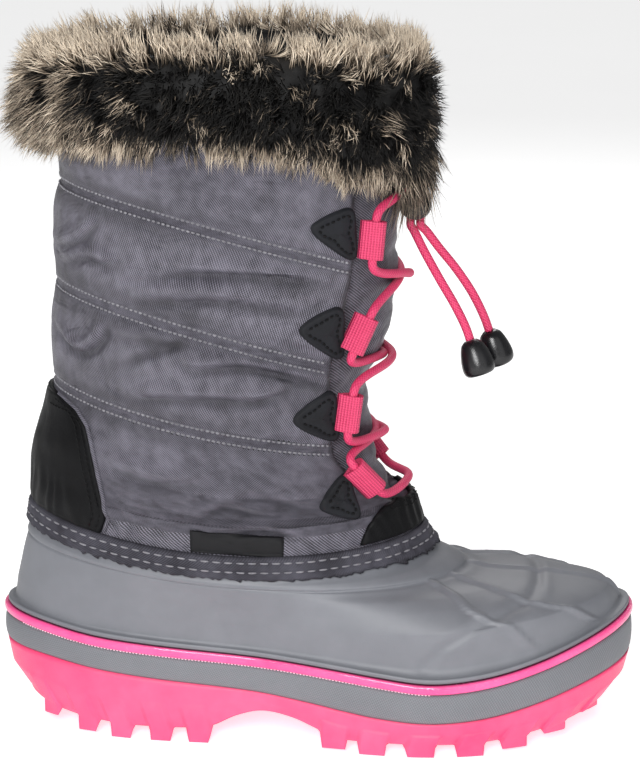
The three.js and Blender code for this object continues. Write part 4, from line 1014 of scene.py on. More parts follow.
@dataclass
class Sole:
    """Outsole with its lugs, the grey band round it and the pink welt over the band."""

    finishes: Finishes
    columns: int = 400
    end_tuck: float = 7.0
    band_bulge: float = 0.8
    piping_proud: float = 1.0
    piping_width: float = 2.6

    def turns(self) -> np.ndarray:
        """Turns round the sole, close together at the heel and the toe as the cosine asks."""
        return np.linspace(0.0, FULL_TURN, 2 * self.columns, endpoint=False)

    def lug_marks(self, turn: np.ndarray) -> tuple[np.ndarray, np.ndarray]:
        """How much of a lug stands at each turn, and the height of that lug's foot.

        The distance along the edge from each lug's middle decides: one inside its half width less a
        soft corner, nothing past it.
        """
        fine = np.linspace(0.0, math.pi, 2001)
        marks = []
        for side in (1, -1):
            edge = LAST.plan(side * fine, 0.0, self.end_tuck / 3.0)
            reach = length_along(edge)
            middle = np.interp(np.arccos(1.0 - 2.0 * LUGS[:, 0]), fine, reach)
            folded = np.where(turn <= math.pi, turn, FULL_TURN - turn)
            here = np.interp(folded, fine, reach)
            away = np.abs(here[..., None] - middle)
            marks.append(1.0 - smooth(-0.4, 0.4, away - LUGS[:, 1] * LAST.sole_length / 2.0 + 0.2))
        each = np.where((turn <= math.pi)[..., None], marks[0], marks[1])
        share = each.max(axis=-1)
        foot = LAST.stack * LUGS[:, 2][each.argmax(axis=-1)]
        return share, foot

    def wall(self) -> np.ndarray:
        """Outsole's side: rows from the lugs' feet up to the band.

        Below the base line a row sinks towards its lug's foot by the lug's mark. Above it the wall
        leans out to the band, and a lug's column stands in front of it up to half way.
        """
        turn = self.turns()
        base = LAST.line("base", LAST.plan(turn, 0.0, 4.0)[:, 0])
        band = LAST.line("band", LAST.plan(turn, 0.0, 0.0)[:, 0])
        share, foot = self.lug_marks(turn)
        foot = np.minimum(foot, base)
        rows = np.concatenate([
            np.linspace(-1.0, 0.0, 7), [0.04, 0.1, 0.2, 0.3, 0.4, 0.46, 0.5, 0.54, 0.6, 0.75, 0.9, 1.0],
        ])
        out = []
        for q in rows:
            up = max(q, 0.0)
            body = np.interp(up, [0.0, 0.08, 0.5, 1.0], [3.2, 2.4, 0.96, 0.0])
            body_end = np.interp(up, [0.0, 0.08, 0.5, 1.0], [8.6, 7.0, 1.75, 0.0])
            lug = min(body, 0.4) + 0.5 * max(-q, 0.0) + 0.4 * smooth(-0.86, -1.0, q)
            over = share * (1.0 - smooth(0.44, 0.54, up))
            end = body_end * (1.0 - 0.1 * over)
            inset = body + (lug - body) * over
            z = base + (band - base) * up
            z = z - (base - foot) * share * max(-q, 0.0)
            out.append(LAST.ring(turn, inset, end, z))
        return np.array(out)

    def underside(self, edge: np.ndarray) -> np.ndarray:
        """Underside from one edge to the other: the ground between, lugs and middle blocks lower.

        Args:
            edge: The wall's lowest row, all the way round.

        Returns:
            A grid whose first and last columns are the wall's lowest row.
        """
        half = self.columns
        outer = edge[: half + 1]
        inner = np.concatenate([edge[:1], edge[:half - 1:-1]])
        grid = across(outer, inner, 81).transpose(1, 0, 2).copy()
        turn = np.linspace(0.0, math.pi, half + 1)
        share, foot = self.lug_marks(turn)
        base = LAST.line("base", grid[..., 0])
        a = np.linspace(-1.0, 1.0, 81)
        wide = np.linalg.norm(outer - inner, axis=1)[:, None] / 2.0
        deep = (1.0 - np.abs(a))[None] * wide
        mark = share[:, None] * (1.0 - smooth(-0.5, 0.5, deep - 0.6 * wide))
        low = base - (base - np.minimum(foot[:, None], base)) * mark
        y0 = np.where(MIDDLE_BLOCKS[:, 0] < 0.4, 0.0, LAST.swing(LAST.along(MIDDLE_BLOCKS[:, 0])))
        long, broad = MIDDLE_BLOCKS[:, 1:3].T * LAST.sole_length / 2.0
        dx = grid[..., :1] - LAST.along(MIDDLE_BLOCKS[:, 0])
        dy = np.abs(grid[..., 1:2] - y0)
        lean = dy / broad
        along = np.minimum(dx + long - 0.4 * long * (1.0 - lean), long - 0.6 * long * lean - dx)
        inside = np.minimum(along, broad - dy)
        blocks = smooth(-0.45, 0.45, inside)
        drop = (blocks * (base[..., None] - LAST.stack * MIDDLE_BLOCKS[:, 3])).max(axis=-1)
        lined = smooth(0.2, 1.0, deep)
        grid[..., 2] = np.where(deep < 1e-6, grid[..., 2], np.minimum(low, base - drop * lined))
        bare = (1.0 - mark) * (1.0 - blocks.max(-1))
        grid[..., 2] += 0.1 * ripple(grid, 9.0, 5) * smooth(2.0, 8.0, deep) * bare
        return grid

    def outsole(self) -> None:
        """Wall, underside and the flat top that the band hides."""
        work = Patchwork()
        wall = self.wall()
        work.grid(wall, wrap=True)
        work.grid(self.underside(wall[0]))
        half = self.columns
        top = wall[-1]
        work.grid(np.stack([top[: half + 1], np.concatenate([top[:1], top[:half - 1:-1]])], axis=1))
        piece = work.piece("outsole_tread", [self.finishes.outsole])
        dressed(piece, "pink_rubber", "outsole")

    def hoop(self, name: str, profile: np.ndarray, slot: str, node: str, finish: bpy.types.Material) -> None:
        """Add a closed hoop round the sole: each profile row is an inset and a height over the rim."""
        turn = self.turns()
        flat = LAST.plan(turn, 0.0, 0.0)
        length = length_along(np.vstack([flat, flat[:1]]))
        rows, marks = [], []
        reach = 0.0
        for k, (inset, share, rise) in enumerate(profile):
            plan = LAST.plan(turn, inset, inset)
            band, rim = LAST.line("band", plan[:, 0]), LAST.line("rim", plan[:, 0])
            rows.append(LAST.ring(turn, inset, inset, band + 0.3 + (rim - band - 0.3) * share + rise))
            if k:
                reach += float(np.linalg.norm(rows[-1][0] - rows[-2][0]))
            marks.append(np.stack([length, np.full(len(length), reach)], axis=-1))
        work = Patchwork()
        work.grid(np.array(rows + rows[:1]), np.array(marks + marks[:1]), wrap=True)
        dressed(work.piece(name, [finish]), slot, node)

    def band(self) -> None:
        """Band: its face swells a little and its edges are rounded; the back lies inside the boot."""
        q = np.linspace(0.0, 1.0, 15)
        face = -self.band_bulge * np.sin(math.pi * q) ** 0.7
        face = face + 0.5 * (smooth(0.1, 0.0, q) + smooth(0.93, 1.0, q))
        rows = [(i, s, 0.0) for i, s in zip(face, q)]
        profile = [(12.0, 0.0, 0.0), (6.0, 0.0, 0.0)] + rows + [(6.0, 1.0, 0.0), (12.0, 1.0, 0.0)]
        self.hoop("grey_band", np.array(profile), "band_rubber", "midsole_band", self.finishes.band)

    def welt(self) -> None:
        """Welt: a bead, half round outside and flat against the shell's foot inside."""
        turn = np.linspace(-math.pi / 2.0, math.pi / 2.0, 13)
        half = LAST.piping_height / 2.0
        inner = self.piping_width - self.piping_proud
        bead = [(-self.piping_proud * math.cos(t) ** 0.75, 1.0, 0.3 + half + half * math.sin(t)) for t in turn]
        profile = [(inner, 1.0, 0.3)] + bead + [(inner, 1.0, 0.3 + 2.0 * half)]
        self.hoop("pink_welt", np.array(profile), "pink_rubber", "piping", self.finishes.piping)

    def flash_highlight(self) -> None:
        """Flash: a broken line of small ridges that the mould leaves between the band and the welt, their pale colour a
        painted highlight.
        """
        turn = np.linspace(0.12 * math.pi, 0.62 * math.pi, 700)
        plan = LAST.plan(turn, -0.12, -0.12)
        line = np.concatenate([plan, (LAST.line("rim", plan[:, 0]) + 0.12)[:, None]], axis=-1)
        out = unit(np.concatenate([np.stack([-np.gradient(line[:, 1]), np.gradient(line[:, 0])], axis=-1) * -1.0,
                                   np.zeros((len(line), 1))], axis=-1))
        out = out * np.where(out[:, 1:2] > 0.0, -1.0, 1.0)
        work = Patchwork()
        thread(work, line, out, 1.25, 0.85, 0.45, 0.3)
        dressed(work.piece("mould_flash", [self.finishes.flash_highlight], join=False), "pink_rubber")

    def make(self) -> None:
        """Make the sole's pieces."""
        self.flash_highlight()
        self.outsole()
        self.band()
        self.welt()


@dataclass
class Foot:
    """Moulded rubber shell with its ledge, lip, ribs and creases, and the felt insole in it."""

    finishes: Finishes
    columns: int = 340
    wall: float = 2.6
    ledge_width: float = 2.2
    lip_proud: float = 0.8
    rib_width: float = 4.4
    rib_height: float = 1.25
    ribs: tuple = ((136, 130, 147), (158, 147, 159), (180, 180, 180), (202, 213, 201), (224, 230, 213))
    arc: tuple = ((0.655, 0.105), (0.672, 0.135), (0.7, 0.165), (0.747, 0.19), (0.795, 0.206), (0.832, 0.216),
                  (0.852, 0.229))
    faint: tuple = ((0.343, 0.218), (0.352, 0.19), (0.363, 0.163))

    def relief(self, level: np.ndarray, turn: np.ndarray) -> np.ndarray:
        """Ribs over the toe, the arc across them, a faint flex line and the dent under the lip.

        A rib is a cosine hump across its line, whose turn is read through three turns from the rim
        to the lip, and it fades out at both ends.
        """
        share = np.clip((level - 0.08) / 4.27, 0.0, 1.0)
        stride = np.linalg.norm(LAST.upper(level, turn + 0.01) - LAST.upper(level, turn), axis=-1) / 0.01
        lift = np.zeros(level.shape)
        for rim, middle, lip in self.ribs:
            line = Table("at turn", [(0, rim), (0.35, middle), (1, lip)])
            away = (turn - np.radians(line.read("turn", share))) * stride
            body = np.clip(1.0 - (away / (self.rib_width / 2.0)) ** 2, 0.0, 1.0) ** 1.3
            lift = np.maximum(lift, self.rib_height * body * smooth(0.0, 0.1, share) * smooth(1.02, 0.93, share))
        place = LAST.upper(level, turn)
        outer = place[..., 1] < 0.0
        x, z = place[..., 0], place[..., 2]
        for path, depth, width in ((self.arc, 0.75, 1.5), (self.faint, 0.3, 1.4)):
            line = spread(np.array([(LAST.along(a), LAST.rim * b) for a, b in path]), 90)
            away = np.sqrt(((x[..., None] - line[:, 0]) ** 2 + (z[..., None] - line[:, 1]) ** 2).min(axis=-1))
            side = outer if path is self.faint else np.ones_like(outer)
            lift = lift - side * depth * np.exp(-((away / width) ** 2))
            lift = lift + side * 0.3 * depth * np.exp(-(((away - 2.2 * width) / (1.2 * width)) ** 2))
        dent = 0.28 * np.exp(-(((level - 4.22) / 0.09) ** 2))
        return lift - dent * (level < 4.3) + 0.1 * ripple(place, 26.0, 3)

    def shell(self) -> None:
        """Shell as one closed skin: foot, ledge, outer face, lip, and the inner face back down."""
        turn = np.linspace(0.0, FULL_TURN, self.columns, endpoint=False)
        foot_inset = 1.9

        def row(inset: float, rise: float) -> np.ndarray:
            """A row at an inset, its height counted from the rim line."""
            rim = LAST.line("rim", LAST.plan(turn, inset, inset)[:, 0])
            return LAST.ring(turn, inset, inset, rim + rise)

        ledge_foot = LAST.gap + LAST.piping_height + LAST.gap
        rows = [row(foot_inset, LAST.gap)]
        rows += [row(inset, ledge_foot + rise) for inset, rise in (
            (foot_inset, 0.0), (1.2, 0.0), (0.75, 0.1), (0.55, 0.45), (0.55, 1.3), (0.75, 1.75), (1.1, 2.0),
            (self.ledge_width - 0.2, 1.8),
        )]
        levels = np.concatenate([np.linspace(0.22, 1.0, 26), np.linspace(1.03, 4.24, 84), [4.27, 4.3]])
        level, around = np.meshgrid(levels, turn, indexing="ij")
        rows.extend(LAST.skin(level, around, self.relief(level, around)))
        lip_levels = np.array([4.305, 4.33, 4.38, 4.48, 4.58, 4.65, 4.72, 4.85, 5.0, 5.1, 5.3, 5.5])
        lip_out = self.lip_proud * np.array([0.25, 0.8, 1.0, 1.05, 1.03, 0.97, 0.75, 0.25, 0.0, 0.0, 0.0, 0.0])
        level, around = np.meshgrid(lip_levels, turn, indexing="ij")
        rows.extend(LAST.skin(level, around, np.broadcast_to(lip_out[:, None], level.shape)))
        inner = np.array([5.5, 5.0, 4.4, 3.8, 3.0, 2.2, 1.5, 1.0, 0.6, 0.3])
        level, around = np.meshgrid(inner, turn, indexing="ij")
        rows.extend(LAST.skin(level, around, np.full(level.shape, -self.wall)))
        rows.append(row(foot_inset + self.wall, LAST.gap))
        work = Patchwork()
        work.grid(np.array(rows + rows[:1]), wrap=True)
        dressed(work.piece("moulded_shell", [self.finishes.shell]), "grey_rubber", "rubber_shell")

    def insole(self) -> None:
        """Insole: a felt bed, its top softly dished, its side straight."""
        turn = np.linspace(0.0, FULL_TURN, 200, endpoint=False)
        rows = []
        for inset, rise in ((6.7, 0.3), (6.7, 3.4), (7.0, 4.1), (7.8, 4.3)):
            flat = LAST.plan(turn, inset, inset)
            rows.append(LAST.ring(turn, inset, inset, LAST.line("rim", flat[:, 0]) + rise))
        edge = rows[-1]
        inner = np.concatenate([edge[:1], edge[:99:-1]])
        top = across(edge[:101], inner, 49).transpose(1, 0, 2).copy()
        deep = np.minimum(np.linspace(0, 1, 49), np.linspace(1, 0, 49))[None]
        ends = smooth(0.0, 6.0, np.arange(101)) * smooth(0.0, 6.0, np.arange(101)[::-1])
        top[..., 2] += (0.25 * ripple(top, 14.0, 8) - 0.5) * smooth(0.0, 0.12, deep) * ends[:, None]
        foot = rows[0]
        under = np.stack([foot[:101], np.concatenate([foot[:1], foot[:99:-1]])], axis=1)
        work = Patchwork()
        work.grid(np.array(rows), wrap=True)
        work.grid(top)
        work.grid(under)
        dressed(work.piece("felt_bed", [self.finishes.felt]), "felt", "insole")

    def make(self) -> None:
        """Make the shell and the insole."""
        self.shell()
        self.insole()


# Shaft and its trims


@dataclass(frozen=True)
class Crease:
    """A fold of the nylon: a ridge along a line of shares and heights, dark under it.

    The line is given as shares of the sole's length and of the rim's height. The profile across it
    is a bell of the height and width, less a narrower bell below it by the under share.
    """

    height: float
    width: float
    under: float
    path: tuple[tuple[float, float], ...]

    def lift(self, x: np.ndarray, z: np.ndarray) -> np.ndarray:
        """How far the cloth stands out at places of one side, X and height in millimetres."""
        points = np.array([(LAST.along(a), LAST.rim * b) for a, b in self.path])
        line = smooth_curve(points, 48) if len(points) > 2 else spread(points, 48)
        reach = 4.0 * self.width + 2.0
        near = (
            (x > line[:, 0].min() - reach) & (x < line[:, 0].max() + reach)
            & (z > line[:, 1].min() - reach) & (z < line[:, 1].max() + reach)
        )
        out = np.zeros(x.shape)
        px, pz = x[near], z[near]
        square = (px[:, None] - line[:, 0]) ** 2 + (pz[:, None] - line[:, 1]) ** 2
        nearest = square.argmin(axis=1)
        away = np.sqrt(square.min(axis=1)) * np.sign(pz - line[nearest, 1] + 1e-9)
        fade = np.sin(math.pi * np.clip((nearest + 2.0) / 51.0, 0.0, 1.0)) ** 0.6
        ridge = np.exp(-((away / self.width) ** 2))
        hollow = np.exp(-(((away + 1.7 * self.width) / (0.85 * self.width)) ** 2))
        out[near] = self.height * fade * (ridge - self.under * hollow)
        return out


CREASES = (
    Crease(0.8, 2.6, 0.9, ((0.24, 0.682), (0.369, 0.684), (0.49, 0.664))),
    Crease(-0.7, 1.5, 0.0, ((0.228, 0.693), (0.31, 0.705), (0.43, 0.706), (0.508, 0.695))),
    Crease(0.75, 2.2, 0.6, ((0.31, 0.721), (0.416, 0.716), (0.52, 0.702))),
    Crease(0.6, 1.9, 0.8, ((0.105, 0.735), (0.14, 0.75), (0.165, 0.776))),
    Crease(0.6, 1.9, 0.9, ((0.12, 0.716), (0.158, 0.728), (0.2, 0.722))),
    Crease(0.35, 3.0, 0.4, ((0.279, 0.8), (0.402, 0.795), (0.485, 0.769))),
    Crease(0.9, 2.1, 0.9, ((0.115, 0.612), (0.141, 0.592), (0.164, 0.603), (0.178, 0.63))),
    Crease(0.6, 2.6, 0.7, ((0.195, 0.626), (0.276, 0.623), (0.325, 0.618))),
    Crease(-0.8, 1.8, 0.0, ((0.215, 0.572), (0.26, 0.591), (0.294, 0.603), (0.311, 0.618))),
    Crease(1.05, 2.4, 1.1, ((0.32, 0.583), (0.393, 0.587), (0.46, 0.573), (0.525, 0.55))),
    Crease(0.75, 2.4, 0.9, ((0.22, 0.536), (0.306, 0.539), (0.442, 0.538))),
    Crease(0.5, 2.0, 0.8, ((0.46, 0.549), (0.441, 0.544), (0.395, 0.526))),
    Crease(0.6, 2.6, 0.6, ((0.18, 0.436), (0.241, 0.418), (0.304, 0.412), (0.345, 0.422))),
    Crease(0.7, 2.8, 0.7, ((0.355, 0.386), (0.412, 0.396), (0.52, 0.368))),
    Crease(0.6, 2.1, 0.8, ((0.318, 0.356), (0.362, 0.376), (0.44, 0.362))),
    Crease(0.6, 1.6, 0.7, ((0.178, 0.362), (0.192, 0.345), (0.21, 0.326))),
    Crease(0.7, 1.8, 1.0, ((0.34, 0.334), (0.427, 0.34), (0.515, 0.316))),
    Crease(0.4, 1.7, 0.5, ((0.225, 0.35), (0.235, 0.325), (0.25, 0.312))),
    Crease(0.4, 1.7, 0.5, ((0.275, 0.345), (0.282, 0.325), (0.292, 0.308))),
    Crease(0.45, 2.0, 0.6, ((0.21, 0.5), (0.25, 0.48), (0.31, 0.475))),
    Crease(0.4, 1.9, 0.6, ((0.44, 0.62), (0.48, 0.61), (0.52, 0.585))),
    Crease(0.4, 1.9, 0.6, ((0.42, 0.47), (0.47, 0.478), (0.52, 0.455))),
)
SEAM_LEVELS = (8.0, 9.0, 10.0)


@dataclass
class Shaft:
    """Padded nylon shaft with its quilting seams, folds and fleece lining, open at the throat."""

    finishes: Finishes
    rows: int = 240
    columns: int = 220
    step: int = 10
    thickness: float = 3.6
    fold_strength: float = 2.7

    def offset(self, level: np.ndarray, turn: np.ndarray) -> np.ndarray:
        """How far the cloth stands out of the last: puff, seam groove, puckers, folds and soft dents."""
        place = LAST.upper(level, turn)
        inner = place[..., 1] > 0.0
        lift = LAST.puff(level)
        x = place[..., 0] + np.where(inner, 5.0, 0.0)
        z = place[..., 2] + np.where(inner, 2.5, 0.0)
        folds = np.zeros(level.shape)
        for crease in CREASES:
            folds += crease.lift(x, z)
        folds *= np.where(inner, 0.85, 1.0) * smooth(0.0, 6.0, np.abs(place[..., 1]))
        folds *= self.fold_strength
        swell = np.clip(LAST.puff(level) / 1.0, 0.25, 1.0)
        around = turn * SHAFT_REACH
        seam = np.abs(level - np.round(np.clip(level, 8.0, 10.0))) * LEVEL_RISE
        pucker = np.sin(around * FULL_TURN / 9.0 + 2.2 * ripple(place, 24.0, 11)) * np.exp(-seam / 6.0)
        pucker = pucker * 0.26 * smooth(1.0, 3.0, seam) * (0.5 + 0.5 * ripple(place, 40.0, 12))
        groove = -0.35 * np.exp(-((seam / 1.1) ** 2)) - 0.25 * np.exp(-(((seam - 1.75) / 0.5) ** 2))
        tuck = 0.3 * np.sin(around * FULL_TURN / 7.0 + 2.0 * ripple(place, 20.0, 13)) * hump(6.1, 6.5, 0.4, level)
        soft = 0.3 * ripple(place, 30.0, 14) + 0.12 * ripple(place, 11.0, 15)
        return lift + swell * folds + pucker + groove + tuck + soft * swell * hump(6.2, 12.0, 0.6, level)

    def opening(self, level: np.ndarray) -> np.ndarray:
        """Angle off the front at which the throat's edge stands at each level, by halving."""
        low = np.zeros(level.shape)
        high = np.full(level.shape, 1.4)
        for _ in range(24):
            middle = (low + high) / 2.0
            place = LAST.upper(level, math.pi - middle)
            inside = np.abs(place[:, 1]) < LAST.throat_half(place[:, 2])
            low, high = np.where(inside, middle, low), np.where(inside, high, middle)
        return np.where(low < 1e-4, 0.0, low)

    def levels(self) -> np.ndarray:
        """The grid's levels, closer at the throat's foot and by the seams."""
        return np.unique(np.concatenate([
            np.linspace(5.54, 6.4, 14), np.linspace(6.4, 7.1, 44), np.linspace(7.1, 12.0, self.rows - 90),
            np.concatenate([np.linspace(s - 0.09, s + 0.09, 13) for s in SEAM_LEVELS]),
        ]).round(5))

    def make(self) -> None:
        """Build the shaft: the nylon grid outside, a coarser fleece grid inside, and the edges between."""
        levels = self.levels()
        share = np.linspace(-1.0, 1.0, self.columns + 1)
        edge = math.pi - self.opening(levels)
        turn = share[None] * edge[:, None]
        level = np.broadcast_to(levels[:, None], turn.shape)
        shown = np.where(turn < 0.0, turn + FULL_TURN, turn)
        lift = self.offset(level, shown)
        hem = smooth(1.0, 0.975, np.abs(share))[None] * np.ones_like(level)
        open_rows = (edge < math.pi - 1e-3)[:, None]
        lift = np.where(open_rows, lift * hem + (1.0 - hem) * 0.2, lift)
        outer = LAST.skin(level, turn, lift)
        coarse = slice(None, None, self.step)
        inner = LAST.skin(level[:, coarse], turn[:, coarse], np.full(level[:, coarse].shape, -self.thickness))
        inner += unit(LAST.normal(level[:, coarse], turn[:, coarse])) * (0.35 * ripple(inner, 7.0, 21)[..., None] - 0.2)
        # Painted shade, kept in the tone attribute: darker where the cloth lies below its puff in folds and seam
        # grooves, in bands beside the seams towards the back, and a painted shadow along the throat's open edge.
        shade = np.clip(-(lift - LAST.puff(level)) * 0.4, 0.0, 0.55)
        place = LAST.share_at(outer[..., 0])
        beside = np.abs(level - np.round(np.clip(level, 8.0, 10.0)))
        shade = shade + 0.42 * np.exp(-(((beside - 0.13) / 0.08) ** 2)) * smooth(0.55, 0.2, place)
        shade = shade + 0.75 * smooth(0.984, 0.996, np.abs(share))[None] * open_rows
        height = np.linspace(0.0, 1.0, len(levels))[:, None] * 190.0
        uv = np.stack(np.broadcast_arrays(share[None] * 150.0, height), axis=-1)
        work = Patchwork()
        work.grid(outer, uv, tone=np.clip(shade, 0.0, 0.85))
        work.grid(inner[:, ::-1], slot=1)
        for end in (0, -1):
            work.ladder(outer[end], inner[end], self.step, slot=1)
        opened = np.flatnonzero(edge < math.pi - 1e-3)
        rows = slice(max(int(opened[0]) - 1, 0), None)
        for column in (0, -1):
            work.grid(across(outer[rows, column], inner[rows, column], 2).transpose(1, 0, 2), slot=0)
        piece = dressed(work.piece("padded_shaft", [self.finishes.nylon, self.finishes.felt]), "nylon", "shaft")
        self.stitch()

    def stitch(self) -> None:
        """Two rows of pale stitches along each quilting seam, and by each stitch's end a dark mark that paints the
        needle hole's shade.
        """
        work = Patchwork()
        for seam in SEAM_LEVELS:
            edge = float(self.opening(np.array([seam]))[0])
            turn = np.linspace(-(math.pi - edge) + 0.02, math.pi - edge - 0.02, 500)
            shown = np.where(turn < 0.0, turn + FULL_TURN, turn)
            for away in (-1.75, 1.75):
                level = np.full(turn.shape, seam)
                rise = np.linalg.norm(LAST.upper(level + 0.02, turn) - LAST.upper(level - 0.02, turn), axis=-1) / 0.04
                level = level + away / rise
                line = LAST.skin(level, turn, self.offset(level, shown) + 0.12)
                out = LAST.normal(level, turn)
                thread(work, line, out, 1.9, 1.4, 0.95, 0.5)
                # Dark marks just outside each row: painted shade of the needle holes.
                side = LAST.skin(level + np.sign(away) * 0.62 / rise, turn, self.offset(level, shown) + 0.06)
                thread(work, side[3:], out[3:], 1.9, 0.85, 0.75, 0.2, slot=1)
        piece = work.piece("quilt_stitches", [self.finishes.grey_thread, self.finishes.needle_hole], join=False)
        dressed(piece, "nylon")


PATCHES = (
    ((0.49, 0.772), (0.556, 0.8), (0.562, 0.716)),
    ((0.472, 0.627), (0.541, 0.66), (0.542, 0.572)),
    ((0.462, 0.493), (0.528, 0.536), (0.535, 0.452)),
    ((0.502, 0.36), (0.546, 0.41), (0.57, 0.335)),
)
COUNTER_EDGE = np.array([
    (0.265, 0.181), (0.3, 0.18), (0.354, 0.169), (0.397, 0.16), (0.43, 0.154), (0.46, 0.147), (0.486, 0.132),
    (0.5, 0.112), (0.508, 0.094), (0.514, 0.084),
])
VAMP_EDGE = np.array([(0.265, 0.574), (0.28, 0.578), (0.32, 0.597), (0.36, 0.612), (0.5, 0.615)])
VAMP_BRIM = ((0.0, 0.18, 0.36, 0.54, 0.67), (0.347, 0.349, 0.357, 0.38, 0.4))  # shares of ball and rim


